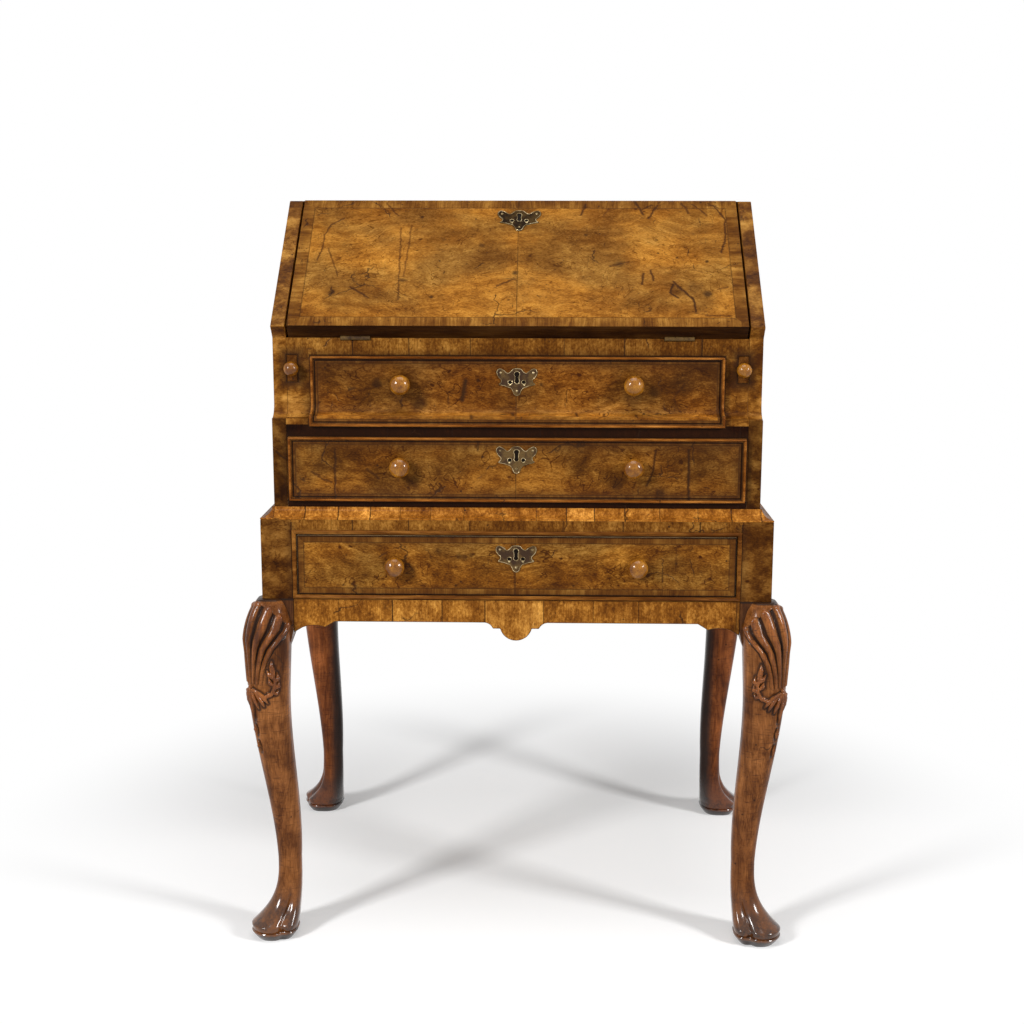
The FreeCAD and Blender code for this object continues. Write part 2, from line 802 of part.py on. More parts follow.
def pierced_plate(body, axis, low, high, keyhole, width, height):
    # a brass plate from low to high along the axis, pierced by the keyhole and two scrolls
    plate_low = keyhole - height * KEYHOLE_RISE_SHARE
    add(body, axis, low, high, escutcheon_outline(width, height, plate_low))
    cut(body, axis, low - d.overrun, high + d.overrun, keyhole_outline(keyhole),
        *scroll_holes(width, height, plate_low))


def keyhole_slot(keyhole):
    # the plain slot that is cut in the wood behind the plate
    low = keyhole - d.keyhole_slot_length
    return rectangle(-d.keyhole_radius, d.keyhole_radius, low, keyhole + d.keyhole_radius)


def lock_recess(body, rear, top):
    # the plate and the box behind it are let in from the back of the front board
    plate = rectangle(-d.lock_plate_width / 2, d.lock_plate_width / 2, top - d.lock_height, top + d.overrun)
    box = rectangle(-d.lock_width / 2, d.lock_width / 2, top - d.lock_height, top + d.overrun)
    cut(body, "Y", rear - d.lock_plate, rear + d.overrun, plate)
    cut(body, "Y", rear - d.lock_depth, rear + d.overrun, box)


def lock(label, rear, top):
    body = new_body(label)
    plate = rectangle(-d.lock_plate_width / 2, d.lock_plate_width / 2, top - d.lock_height, top)
    box = rectangle(-d.lock_width / 2, d.lock_width / 2, top - d.lock_height, top)
    add(body, "Y", rear - d.lock_plate, rear, plate)
    add(body, "Y", rear - d.lock_depth, rear - d.lock_plate, box)
    bolt_rear = rear - d.lock_plate - d.bolt_thickness / 2
    slot = rectangle(-d.bolt_width / 2, d.bolt_width / 2, bolt_rear - d.bolt_thickness, bolt_rear)
    cut(body, "Z", top - d.bolt_thickness, top + d.overrun, slot)
    return body


# Drawers
def tails(base, end, low, high):
    # dovetails in the side's own plane, from base out to end
    pitch = (high - low) / TAIL_COUNT
    shapes = []
    for index in range(TAIL_COUNT):
        centre = low + pitch * (index * 2 + 1) / 2
        narrow = pitch * TAIL_BASE_SHARE / 2
        wide = pitch * TAIL_END_SHARE / 2
        shapes.append([
            (base, centre - narrow), (end, centre - wide), (end, centre + wide), (base, centre + narrow)])
    return shapes


def drawer_box(name, half, floor, top, front_rear, rear):
    # sides, back and bottom of a drawer whose front board ends at front_rear
    outer = half - d.drawer_side_gap
    inner = outer - d.drawer_side
    low = floor + d.drawer_bottom
    back_face = rear - d.drawer_back
    front_tails = tails(front_rear, front_rear - d.dovetail_lap, low, top)
    rear_tails = tails(back_face, rear, low, top)
    outline = [(front_rear, low)]
    for shape in front_tails:
        outline += shape
    outline += [(front_rear, top), (back_face, top)]
    for shape in reversed(rear_tails):
        outline += list(reversed(shape))
    outline += [(back_face, low)]
    sides = new_body(name + "_sides")
    mirror(sides, "X", add(sides, "X", inner, outer, outline))
    back = board(name + "_back", "Y", back_face, rear, rectangle(-outer, outer, low, top))
    socket = cut(back, "X", inner, outer + d.overrun, *tails(back_face, rear, low, top))
    mirror(back, "X", socket)
    board(name + "_bottom", "Z", floor, low,
          rectangle(-outer, outer, front_rear - d.bottom_rebate, rear))


def front_joinery(front, half, floor, top, front_rear, keyhole, knob_x, knob_height, face):
    # the sockets, the bottom's rebate, the lock's recess, the keyhole and the knob holes
    outer = half - d.drawer_side_gap
    inner = outer - d.drawer_side
    low = floor + d.drawer_bottom
    cut(front, "X", -outer - d.overrun, outer + d.overrun,
        rectangle(front_rear - d.bottom_rebate, front_rear + d.overrun, floor - d.overrun, low))
    sockets = tails(front_rear, front_rear - d.dovetail_lap, low, top)
    mirror(front, "X", cut(front, "X", inner, outer + d.overrun, *sockets))
    lock_recess(front, front_rear, top)
    cut(front, "Y", face - d.overrun, front_rear, keyhole_slot(keyhole))
    cut(front, "Y", face - d.overrun, face + d.knob_tenon_length,
        *[eight_sides(x, knob_height, d.knob_tenon_radius) for x in (knob_x, -knob_x)])


def drawer_fittings(name, face, front_rear, core_top, keyhole, knob_x, knob_height):
    turned_knobs(name + "_knobs", knob_x, face, knob_height)
    pierced_plate(new_body(name + "_escutcheon"), "Y", face - d.escutcheon_plate, face, keyhole,
                  d.escutcheon_width, d.escutcheon_height)
    lock(name + "_lock", front_rear, core_top)


drawer_rear = case_inner_rear - d.drawer_back_gap
rim_front = d.lip_thickness + d.rim_height

# Upper drawer: its front follows the case's step, with a lip and a raised rim all round
upper_front_body = new_body("upper_drawer_front")
upper_core_half = upper_half - d.drawer_side_gap
upper_lip_half = upper_half + d.lip_overlap
upper_lip_low = upper_low - d.lip_overlap
upper_lip_high = upper_high + d.lip_overlap
upper_floor = upper_low + d.drawer_run_gap
upper_core_top = upper_high - d.drawer_top_gap
upper_rear = upper_front + d.front_board
upper_face = upper_front - d.lip_thickness


def stepped_skin(offset, depth, low, high):
    # a strip of constant depth that follows the step, its outer face this far out
    inner = offset - depth
    down = [(upper_front - offset, high)] + stepped_front(offset) + [(lower_front - offset, low)]
    return down + [(lower_front - inner, low)] + stepped_back(inner) + [(upper_front - inner, high)]


add(upper_front_body, "X", -upper_lip_half, upper_lip_half,
    stepped_skin(d.lip_thickness, d.lip_thickness, upper_lip_low, upper_lip_high))
upper_core_face = [(upper_face, upper_core_top)] + stepped_front(d.lip_thickness)
add(upper_front_body, "X", -upper_core_half, upper_core_half, upper_core_face + [
    (lower_front - d.lip_thickness, upper_floor), (upper_rear, upper_floor), (upper_rear, upper_core_top)])
rim = add(upper_front_body, "X", upper_lip_half - d.rim_width, upper_lip_half,
          stepped_skin(rim_front, d.rim_height, upper_lip_low, upper_lip_high))
mirror(upper_front_body, "X", rim)
for front, low in ((upper_front, upper_lip_high - d.rim_width), (lower_front, upper_lip_low)):
    add(upper_front_body, "X", -upper_lip_half, upper_lip_half,
        rectangle(front - rim_front, front - d.lip_thickness, low, low + d.rim_width))
upper_keyhole = upper_core_top - d.upper_keyhole_drop
upper_knob_height = upper_low + d.upper_knob_rise
case_knob_x = d.case_knob_spacing / 2
front_joinery(upper_front_body, upper_half, upper_floor, upper_core_top, upper_rear,
              upper_keyhole, case_knob_x, upper_knob_height, upper_face)
drawer_box("upper_drawer", upper_half, upper_floor, upper_core_top, upper_rear, drawer_rear)
drawer_fittings("upper_drawer", upper_face, upper_rear, upper_core_top, upper_keyhole, case_knob_x,
                upper_knob_height)

# Middle drawer: a flat front with the same lip and rim
middle_front_body = new_body("middle_drawer_front")
middle_lip_half = middle_half + d.lip_overlap
middle_lip_low = middle_low - d.lip_overlap
middle_lip_high = middle_high + d.lip_overlap
middle_floor = middle_low + d.drawer_run_gap
middle_core_top = middle_high - d.drawer_top_gap
middle_rear = lower_front + d.front_board
middle_core_half = middle_half - d.drawer_side_gap
add(middle_front_body, "Y", lower_front - rim_front, lower_front,
    rectangle(-middle_lip_half, middle_lip_half, middle_lip_low, middle_lip_high))
cut(middle_front_body, "Y", lower_front - rim_front - d.overrun, lower_front - d.lip_thickness,
    rectangle(d.rim_width - middle_lip_half, middle_lip_half - d.rim_width,
              middle_lip_low + d.rim_width, middle_lip_high - d.rim_width))
add(middle_front_body, "Y", lower_front, middle_rear,
    rectangle(-middle_core_half, middle_core_half, middle_floor, middle_core_top))
middle_keyhole = middle_core_top - d.middle_keyhole_drop
middle_knob_height = middle_low + d.middle_knob_rise
middle_face = lower_front - d.lip_thickness
front_joinery(middle_front_body, middle_half, middle_floor, middle_core_top, middle_rear,
              middle_keyhole, case_knob_x, middle_knob_height, middle_face)
drawer_box("middle_drawer", middle_half, middle_floor, middle_core_top, middle_rear, drawer_rear)
drawer_fittings("middle_drawer", middle_face, middle_rear, middle_core_top, middle_keyhole, case_knob_x,
                middle_knob_height)

# Stand drawer: a plain front that closes flush inside the bead
stand_core_half = stand_opening_half - d.drawer_side_gap
stand_floor = stand_opening_low + d.drawer_run_gap
stand_core_top = stand_opening_high - d.flush_drawer_gap
stand_front_rear = stand_front + d.front_board
stand_front_body = board("stand_drawer_front", "Y", stand_front, stand_front_rear,
                         rectangle(-stand_core_half, stand_core_half, stand_floor, stand_core_top))
stand_keyhole = stand_core_top - d.stand_keyhole_drop
stand_knob_height = stand_opening_low + d.stand_knob_rise
stand_knob_x = d.stand_knob_spacing / 2
front_joinery(stand_front_body, stand_opening_half, stand_floor, stand_core_top, stand_front_rear,
              stand_keyhole, stand_knob_x, stand_knob_height, stand_front)
stand_drawer_rear = stand_rear - d.stand_board - d.drawer_back_gap
drawer_box("stand_drawer", stand_opening_half, stand_floor, stand_core_top, stand_front_rear,
           stand_drawer_rear)
drawer_fittings("stand_drawer", stand_front, stand_front_rear, stand_core_top, stand_keyhole, stand_knob_x,
                stand_knob_height)

# Interior gallery: a shelf on dividers, with pigeonholes above and two small drawers below
# It stands back from the closed fall's inner face by a setback, measured at its top.
fall_inner_depth = upper_front + d.interior_height * slope_cosine / slope_sine
gallery_front = fall_inner_depth + d.gallery_setback
shelf_low = bed_top + d.gallery_drawer_height
shelf_high = shelf_low + d.gallery_board
board("gallery_shelf", "X", -case_inner_half, case_inner_half,
      rectangle(gallery_front, case_inner_rear, shelf_low, shelf_high))
dividers = new_body("gallery_dividers")
small_inner = case_inner_half - d.small_drawer_width
lower_divider = add(dividers, "X", small_inner - d.gallery_board, small_inner,
                    rectangle(gallery_front, case_inner_rear, bed_top, shelf_low))
pigeonhole = (case_inner_half * 2 - d.gallery_board * 4) / 5
upper_dividers = []
for step in (0, 1):
    divider_low = pigeonhole / 2 + (pigeonhole + d.gallery_board) * step
    upper_dividers.append(add(dividers, "X", divider_low, divider_low + d.gallery_board,
                              rectangle(gallery_front, case_inner_rear, shelf_high, interior_top)))
mirror(dividers, "X", lower_divider, *upper_dividers)

small_floor = bed_top + d.drawer_run_gap
small_top = shelf_low - d.small_drawer_gap
small_middle = case_inner_half - d.small_drawer_width / 2
small_half = d.small_drawer_width / 2 - d.small_drawer_gap
small_rear = case_inner_rear - d.small_drawer_back_gap
for name, side in SIDES.items():
    centre = small_middle * side
    front = board("small_%s_drawer_front" % name, "Y", gallery_front, gallery_front + d.small_front_board,
                  rectangle(centre - small_half, centre + small_half, small_floor, small_top))
    knob_height = (small_floor + small_top) / 2
    turn_on_lathe(front, "X", centre, (gallery_front, knob_height),
                  [(0, 0)] + knob_head(d.small_knob_radius, d.small_knob_projection))
    box = new_body("small_%s_drawer_box" % name)
    box_front = gallery_front + d.small_front_board
    inset = small_half - d.small_side_board
    add(box, "Z", small_floor, small_top - d.small_drawer_gap,
        rectangle(centre - small_half, centre + small_half, box_front, small_rear))
    cut(box, "Z", small_floor + d.small_bottom_board, small_top + d.overrun,
        rectangle(centre - inset, centre + inset, box_front - d.overrun, small_rear - d.small_side_board))

# Fall: modelled flat in its own frame, with its hinge line at the origin, its length along
# +Y and its thickness up, and then tilted onto the slope
fall_half = case_inner_half - d.fall_side_gap
fall_top = fall_length - d.fall_edge_gap


def place_on_slope(body):
    body.Placement = Placement(Vector(0, 0, 0), Rotation(Vector(1, 0, 0), d.fall_slope.number))
    bind(body, "Placement.Base.y", upper_front)
    bind(body, "Placement.Base.z", bed_top)
    bind(body, "Placement.Rotation.Angle", d.fall_slope)


fall = board("fall_panel", "X", -fall_half, fall_half,
             rectangle(d.fall_edge_gap, fall_top, 0, d.fall_thickness))
hinge_low = d.hinge_offset - d.hinge_width / 2
hinge_high = d.hinge_offset + d.hinge_width / 2
barrel_room = d.hinge_knuckle_radius + d.hinge_clearance
recess_low = hinge_low - d.hinge_clearance
recess_high = hinge_high + d.hinge_clearance
recess_length = d.hinge_leaf_length + d.hinge_clearance
recesses = [
    cut(fall, "X", recess_low, recess_high, circles=[(0, 0, barrel_room)]),
    cut(fall, "Z", -d.overrun, d.hinge_leaf, rectangle(recess_low, recess_high, 0, recess_length)),
]
mirror(fall, "X", *recesses)
fall_keyhole = fall_top - d.fall_keyhole_drop
fall_lock_low = fall_top - d.lock_height - d.lock_depth
plate_outline = rectangle(-d.lock_plate_width / 2, d.lock_plate_width / 2, fall_lock_low, fall_top)
box_outline = rectangle(-d.lock_width / 2, d.lock_width / 2, fall_lock_low, fall_top)
cut(fall, "Z", -d.overrun, d.lock_plate, plate_outline)
cut(fall, "Z", -d.overrun, d.lock_depth, box_outline)
cut(fall, "Z", d.lock_depth, d.fall_thickness + d.overrun, keyhole_slot(fall_keyhole))
place_on_slope(fall)

fall_lock = new_body("fall_lock")
add(fall_lock, "Z", as_size(0), d.lock_plate, plate_outline)
add(fall_lock, "Z", d.lock_plate, d.lock_depth, box_outline)
cut(fall_lock, "Y", fall_top - d.bolt_thickness, fall_top + d.overrun,
    rectangle(-d.bolt_width / 2, d.bolt_width / 2, d.bolt_thickness, d.bolt_thickness * 2))
place_on_slope(fall_lock)

fall_escutcheon = new_body("fall_escutcheon")
pierced_plate(fall_escutcheon, "Z", d.fall_thickness, d.fall_thickness + d.escutcheon_plate,
              fall_keyhole, d.fall_escutcheon_width, d.fall_escutcheon_height)
place_on_slope(fall_escutcheon)

# Hinges: two brass butts. The pin is held between the case's two knuckles and passes through
# the fall's.
knuckle = (d.hinge_width - d.hinge_clearance * 2) / 3
leaf_start = barrel_room + d.hinge_clearance


def hinge_leaf(body, places, leaf_low, leaf_high):
    # the leaf lies along +Y from the pin, level with its axis
    parts = [add(body, "Z", leaf_low, leaf_high,
                 rectangle(hinge_low, hinge_high, leaf_start, d.hinge_leaf_length))]
    for place in places:
        start = hinge_low + (knuckle + d.hinge_clearance) * place
        parts.append(add(body, "X", start, start + knuckle, circles=[(0, 0, d.hinge_knuckle_radius)]))
        parts.append(add(body, "Z", leaf_low, leaf_high, rectangle(start, start + knuckle, 0, leaf_start)))
    return parts


fall_leaves = new_body("hinge_fall_leaves")
fall_leaf = hinge_leaf(fall_leaves, [1], as_size(0), d.hinge_leaf)
pin_hole = d.hinge_pin_radius + d.pin_clearance
fall_leaf.append(cut(fall_leaves, "X", hinge_low, hinge_high, circles=[(0, 0, pin_hole)]))
mirror(fall_leaves, "X", *fall_leaf)
place_on_slope(fall_leaves)

case_leaves = new_body("hinge_case_leaves")
mirror(case_leaves, "X", *hinge_leaf(case_leaves, [0, 2], -d.hinge_leaf, as_size(0)))
bind(case_leaves, "Placement.Base.y", upper_front)
bind(case_leaves, "Placement.Base.z", bed_top)

pins = new_body("hinge_pins")
pin = add(pins, "X", hinge_low + knuckle, hinge_high - knuckle, circles=[(0, 0, d.hinge_pin_radius)])
mirror(pins, "X", pin)
bind(pins, "Placement.Base.y", upper_front)
bind(pins, "Placement.Base.z", bed_top)

rail_recess = [
    cut(hinge_rail, "X", recess_low, recess_high, circles=[(upper_front, bed_top, barrel_room)]),
    cut(hinge_rail, "Z", bed_top - d.hinge_leaf, bed_top + d.overrun,
        rectangle(recess_low, recess_high, upper_front, upper_front + recess_length)),
]
mirror(hinge_rail, "X", *rail_recess)


# Check every object and write one file for each piece
doc.recompute()
for item in doc.Objects:
    if "Invalid" in item.State or "Error" in item.State:
        raise RuntimeError("%s of %s failed: %s" % (item.Name, item.getParentGeoFeatureGroup(), item.State))
for pocket in cuts:
    before = pocket.BaseFeature.Shape.Volume
    if pocket.Shape.Volume >= before:
        raise RuntimeError("%s in %s cuts nothing" % (pocket.Name, pocket.getParentGeoFeatureGroup().Label))

os.makedirs("parts", exist_ok=True)
bodies = [item for item in doc.Objects if item.TypeId == "PartDesign::Body"]
whole = FreeCAD.BoundBox()
for body in bodies:
    if body.Shape.isNull() or not body.Shape.isValid():
        raise RuntimeError(body.Label + " has no valid shape")
    body.Shape.exportStep("parts/%s.step" % body.Label)
    whole.add(body.Shape.BoundBox)
    print("%-28s %d solids %10.0f mm3" % (body.Label, len(body.Shape.Solids), body.Shape.Volume))
print("pieces", len(bodies))
print("box", whole)
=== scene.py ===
# %% [markdown]
# # A bureau on stand in walnut
# The bureau has a sloping fall over two lipped drawers, and it stands on a frame with one more
# drawer and four cabriole legs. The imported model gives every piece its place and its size.
# This lesson dresses that frame: rounded arrises, veneers with a real figure, carved knees,
# turned knobs and pierced brass plates. Everything is in metres, with the front towards -Y.

# %% Load the frame
import math

import bmesh
import bpy
import numpy as np
from mathutils import Matrix, Vector
from mathutils.bvhtree import BVHTree


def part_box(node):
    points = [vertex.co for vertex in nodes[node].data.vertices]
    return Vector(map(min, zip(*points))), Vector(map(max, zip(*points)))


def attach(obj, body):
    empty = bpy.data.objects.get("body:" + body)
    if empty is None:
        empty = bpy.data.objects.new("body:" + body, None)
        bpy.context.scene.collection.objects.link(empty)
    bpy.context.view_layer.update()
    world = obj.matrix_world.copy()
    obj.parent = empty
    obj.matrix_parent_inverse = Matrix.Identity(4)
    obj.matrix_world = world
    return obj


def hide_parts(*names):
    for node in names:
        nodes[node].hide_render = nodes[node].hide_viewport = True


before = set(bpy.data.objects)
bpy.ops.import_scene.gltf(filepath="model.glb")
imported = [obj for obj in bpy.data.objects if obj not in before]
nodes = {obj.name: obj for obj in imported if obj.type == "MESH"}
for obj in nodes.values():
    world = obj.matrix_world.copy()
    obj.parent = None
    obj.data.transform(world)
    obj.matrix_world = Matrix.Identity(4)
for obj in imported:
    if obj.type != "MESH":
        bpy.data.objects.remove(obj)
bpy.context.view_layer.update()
scene = bpy.context.scene
scene.view_settings.view_transform = "Standard"
MM = 0.001
DRAWERS = ("upper_drawer", "middle_drawer", "stand_drawer")

# %% [markdown]
# ## From a form to an object
# Every piece takes the same few steps: a form becomes a mesh with its finishes, the mesh becomes
# an object, and where it has modifiers they are worked out, so that a plain mesh is left.

# %% Objects and meshes
def add_object(name, data):
    obj = bpy.data.objects.new(name, data)
    scene.collection.objects.link(obj)
    return obj


def mesh_from(form, name, finishes):
    mesh = bpy.data.meshes.new(name)
    form.to_mesh(mesh)
    form.free()
    for finish in finishes:
        mesh.materials.append(finish)
    return mesh


def settled_mesh(obj):
    state = bpy.context.evaluated_depsgraph_get()
    return bpy.data.meshes.new_from_object(obj.evaluated_get(state))


def place_piece(obj, body, replaced=()):
    # names the body that carries it, and hides the frame nodes that it stands for
    if replaced:
        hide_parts(*replaced)
    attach(obj, body)


print("mesh helpers ready")

# %% [markdown]
# ## The camera
# A product photograph is taken from a little above the writing height, with a longish lens, so
# that upright lines stay upright. The viewpoint is found once, from the corners of the case and
# the feet, and then it is kept.

# %% Camera
LENS = 52.66
CAMERA_PLACE = (0.0371, -2.1177, 0.9469)
TURN, TILT, ROLL = math.radians(1.29), math.radians(79.19), 0.0017

camera_data = bpy.data.cameras.new("camera")
camera_data.lens = LENS
camera = add_object("camera", camera_data)
aim = Matrix.Rotation(TURN, 4, "Z") @ Matrix.Rotation(TILT, 4, "X") @ Matrix.Rotation(ROLL, 4, "Z")
camera.matrix_world = Matrix.Translation(CAMERA_PLACE) @ aim
scene.camera = camera
print("camera at", camera.matrix_world.translation[:])

# %% [markdown]
# ## Writing a finish as sums
# A finish is a graph of nodes, and a long graph is hard to read as links. So one small class
# wraps a socket: plus, minus, times and the comparisons each add the Math node that they name.
# A second class holds one graph and adds every other node by its type, its settings and the
# values of its sockets. Colours are mixed by Mix nodes and places by Vector Math, because plain
# numbers would lose two of their three parts.

# %% Sockets that can be added and multiplied
class Signal:
    def __init__(self, graph, socket):
        self.graph = graph
        self.socket = socket

    def __add__(self, other):
        return self.graph.maths("ADD", self, other)

    def __sub__(self, other):
        return self.graph.maths("SUBTRACT", self, other)

    def __rsub__(self, other):
        return self.graph.maths("SUBTRACT", other, self)

    def __mul__(self, other):
        return self.graph.maths("MULTIPLY", self, other)

    def __truediv__(self, other):
        return self.graph.maths("DIVIDE", self, other)

    def __gt__(self, other):
        return self.graph.maths("GREATER_THAN", self, other)

    def __lt__(self, other):
        return self.graph.maths("LESS_THAN", self, other)

    def __abs__(self):
        return self.graph.maths("ABSOLUTE", self)

    __radd__ = __add__
    __rmul__ = __mul__


# %% One graph of nodes
class Graph:
    def __init__(self, tree):
        self.nodes = tree.nodes
        self.links = tree.links

    def node(self, kind, settings, values, output=0):
        made = self.nodes.new(kind)
        for name, value in settings.items():
            if name == "stops":
                self.set_stops(made.color_ramp, value)
            else:
                setattr(made, name, value)
        self.fill(made, values)
        return Signal(self, made.outputs[output])

    def fill(self, node, values):
        for name, value in values.items():
            if isinstance(value, Signal):
                self.links.new(value.socket, node.inputs[name])
            else:
                node.inputs[name].default_value = value

    def set_stops(self, ramp, stops):
        while len(ramp.elements) < len(stops):
            ramp.elements.new(1.0)
        for element, (place, colour) in zip(ramp.elements, stops):
            element.position = place
            element.color = (*colour, 1.0)

    def maths(self, operation, first, second=0.0):
        return self.node("ShaderNodeMath", {"operation": operation}, {0: first, 1: second})

    def strongest(self, first, *others):
        for other in others:
            first = self.maths("MAXIMUM", first, other)
        return first

    def vector(self, operation, first, second):
        output = 1 if operation in ("DOT_PRODUCT", "DISTANCE") else 0
        values = {0: first, 1: second}
        return self.node("ShaderNodeVectorMath", {"operation": operation}, values, output)

    def mix(self, share, first, second, way="MIX"):
        settings = {"data_type": "RGBA", "blend_type": way}
        colours = [c if isinstance(c, Signal) else (*c, 1.0) for c in (first, second)]
        return self.node("ShaderNodeMix", settings, {0: share, 6: colours[0], 7: colours[1]}, 2)

    def tint(self, colour, factors):
        return self.mix(1.0, colour, factors, "MULTIPLY")

    def smooth(self, value, low, high, start=0.0, end=1.0):
        limits = {"Value": value, "From Min": low, "From Max": high, "To Min": start, "To Max": end}
        return self.node("ShaderNodeMapRange", {"interpolation_type": "SMOOTHSTEP"}, limits)

    def near(self, distance, full, none, strength=1.0):
        # full strength up to the first distance, and nothing beyond the second
        return self.smooth(distance, full, none, strength, 0.0)

    def noise(self, place, stretch, detail=3.0, roughness=0.5, shift=0.0, output=0):
        scaled = self.vector("MULTIPLY", place, stretch)
        moved = self.vector("ADD", scaled, (shift, shift * 0.7, shift * 1.3))
        values = {"Vector": moved, "Scale": 1.0, "Detail": detail, "Roughness": roughness}
        return self.node("ShaderNodeTexNoise", {"noise_dimensions": "3D"}, values, output)

    def patches(self, place, stretch, detail, roughness, shift, low, high):
        # noise that is cut off softly at both ends, so that it comes and goes
        return self.smooth(self.noise(place, stretch, detail, roughness, shift), low, high)

    def cells(self, place, stretch, shift=0.0, feature="F1"):
        spread_out = self.vector("MULTIPLY", place, stretch)
        moved = self.vector("ADD", spread_out, (shift, shift, shift))
        values = {"Vector": moved, "Scale": 1.0, "Randomness": 1.0}
        return self.node("ShaderNodeTexVoronoi", {"feature": feature}, values)

    def chance(self, number):
        # one steady random value for each whole number
        return self.node("ShaderNodeTexWhiteNoise", {"noise_dimensions": "1D"}, {"W": number})

    def ramp(self, share, stops):
        return self.node("ShaderNodeValToRGB", {"stops": stops}, {"Fac": share})

    def object_place(self):
        return self.node("ShaderNodeTexCoord", {}, {}, "Object")

    def parts(self, vector):
        split = self.nodes.new("ShaderNodeSeparateXYZ")
        self.fill(split, {0: vector})
        return [Signal(self, socket) for socket in split.outputs]

    def together(self, x, y, z):
        return self.node("ShaderNodeCombineXYZ", {}, {0: x, 1: y, 2: z})


def new_finish(name):
    material = bpy.data.materials.new(name)
    material.use_nodes = True
    return material, Graph(material.node_tree)


def varnish(material, graph, colour, roughness, height, depth, coat=0.0, shine=0.05, metallic=0.0):
    # the last step of every finish: what varies is linked, and what is constant is set
    bump = graph.node("ShaderNodeBump", {}, {"Height": height, "Strength": 1.0, "Distance": depth})
    shader = material.node_tree.nodes["Principled BSDF"]
    graph.fill(shader, {
        "Base Color": colour, "Roughness": roughness, "Normal": bump, "Coat Weight": coat,
        "Coat Roughness": 0.12, "Specular IOR Level": shine, "Metallic": metallic,
    })
    return material


print("graph tools ready")

# %% [markdown]
# ## Floor, backdrop and light
# The piece stands on a white floor that runs into a white backdrop. Two soft boxes stand in
# front, one on each side, which throws two pale shadows from every foot, and a wide soft box hangs
# above. The floor is white paper, and only what looks at it sees a little light of its own, so the
# wood isn't lit more than it should be.

# %% Floor and backdrop
FLOOR_HALF = 9.0
FLOOR_GLOW = 0.22
PAPER_FADES = (0.40, 0.92)
ROOM_LIGHT = 0.14
WHITE = (1.0, 1.0, 1.0, 1.0)
COOL_WHITE = (0.97, 0.98, 1.0, 1.0)


def seen_directly(graph):
    # 1 for the camera, for a mirror and for glass, and 0 for the light that fills the room
    path = graph.nodes.new("ShaderNodeLightPath")
    names = ("Is Camera Ray", "Is Glossy Ray", "Is Transmission Ray")
    return graph.strongest(*[Signal(graph, path.outputs[name]) for name in names])


def either_shader(graph, share, first, second):
    return graph.node("ShaderNodeMixShader", {}, {"Fac": share, 1: first, 2: second})


def own_light(graph, strength):
    return graph.node("ShaderNodeEmission", {}, {"Color": WHITE, "Strength": strength})


floor_mesh = bpy.data.meshes.new("floor")
corners = [(x * FLOOR_HALF, y * FLOOR_HALF, 0) for x, y in ((-1, -1), (1, -1), (1, 1), (-1, 1))]
floor_mesh.from_pydata(corners, [], [(0, 1, 2, 3)])
floor = add_object("floor", floor_mesh)
paper, graph = new_finish("floor_paper")
graph.nodes.remove(graph.nodes["Principled BSDF"])
matt = graph.node("ShaderNodeBsdfDiffuse", {}, {"Color": (0.8, 0.8, 0.8, 1.0)})
lifted = graph.node("ShaderNodeAddShader", {}, {0: matt, 1: own_light(graph, FLOOR_GLOW)})
from_middle = graph.vector("DISTANCE", graph.object_place(), (0.0, 0.05, 0.0))
far_off = graph.smooth(from_middle, *PAPER_FADES)
lifted = either_shader(graph, far_off, lifted, own_light(graph, 1.0))
surface = either_shader(graph, seen_directly(graph), matt, lifted)
graph.fill(graph.nodes["Material Output"], {"Surface": surface})
floor_mesh.materials.append(paper)

world = bpy.data.worlds.new("studio")
world.use_nodes = True
scene.world = world
graph = Graph(world.node_tree)
graph.nodes.remove(graph.nodes["Background"])
room = graph.node("ShaderNodeBackground", {}, {"Color": COOL_WHITE, "Strength": ROOM_LIGHT})
backdrop = graph.node("ShaderNodeBackground", {}, {"Color": WHITE, "Strength": 1.0})
surroundings = either_shader(graph, seen_directly(graph), room, backdrop)
graph.fill(graph.nodes["World Output"], {"Surface": surroundings})
print("floor", FLOOR_HALF * 2, "m wide")

# %% Soft boxes
# name: place, what it points at, width, height and watts
SOFT_BOXES = {
    "left_box": ((-2.0, -2.05, 1.9), (0, 0, 0.5), 0.5, 0.8, 72),
    "right_box": ((2.5, -1.5, 1.8), (0, 0, 0.5), 0.5, 0.8, 66),
    "top_box": ((0.0, -0.5, 2.9), (0, 0, 0.6), 1.8, 1.2, 22),
}
for name, (place, target, width, height, watts) in SOFT_BOXES.items():
    data = bpy.data.lights.new(name, "AREA")
    data.shape = "RECTANGLE"
    data.size = width
    data.size_y = height
    data.energy = watts
    lamp = add_object(name, data)
    lamp.location = place
    lamp.rotation_euler = (Vector(target) - Vector(place)).to_track_quat("-Z", "Y").to_euler()
print("lamps", list(SOFT_BOXES))

# %% [markdown]
# ## How a board knows its own grain
# Veneer is laid flat, so its figure belongs to the board and not to the room. Each finish
# therefore starts from the object's own coordinates and turns them to the board: across it, up it
# and out of it. For the sloping fall that turns the figure onto the slope, and for a stepped
# drawer front it carries the figure down over the hollow without a break. A plain board only
# needs its grain's direction first.

# %% Board coordinates
AXES = {"X": (0, 1, 2), "Y": (1, 0, 2), "Z": (2, 0, 1)}


def board_place(graph, origin, up, out):
    place = graph.object_place()
    across = graph.parts(place)[0] - origin[0]
    rise = graph.vector("DOT_PRODUCT", place, up) - Vector(origin).dot(up)
    depth = graph.vector("DOT_PRODUCT", place, out) - Vector(origin).dot(out)
    return across, rise, depth


def grained(graph, along):
    split = graph.parts(graph.object_place())
    return graph.together(*[split[index] for index in AXES[along]])


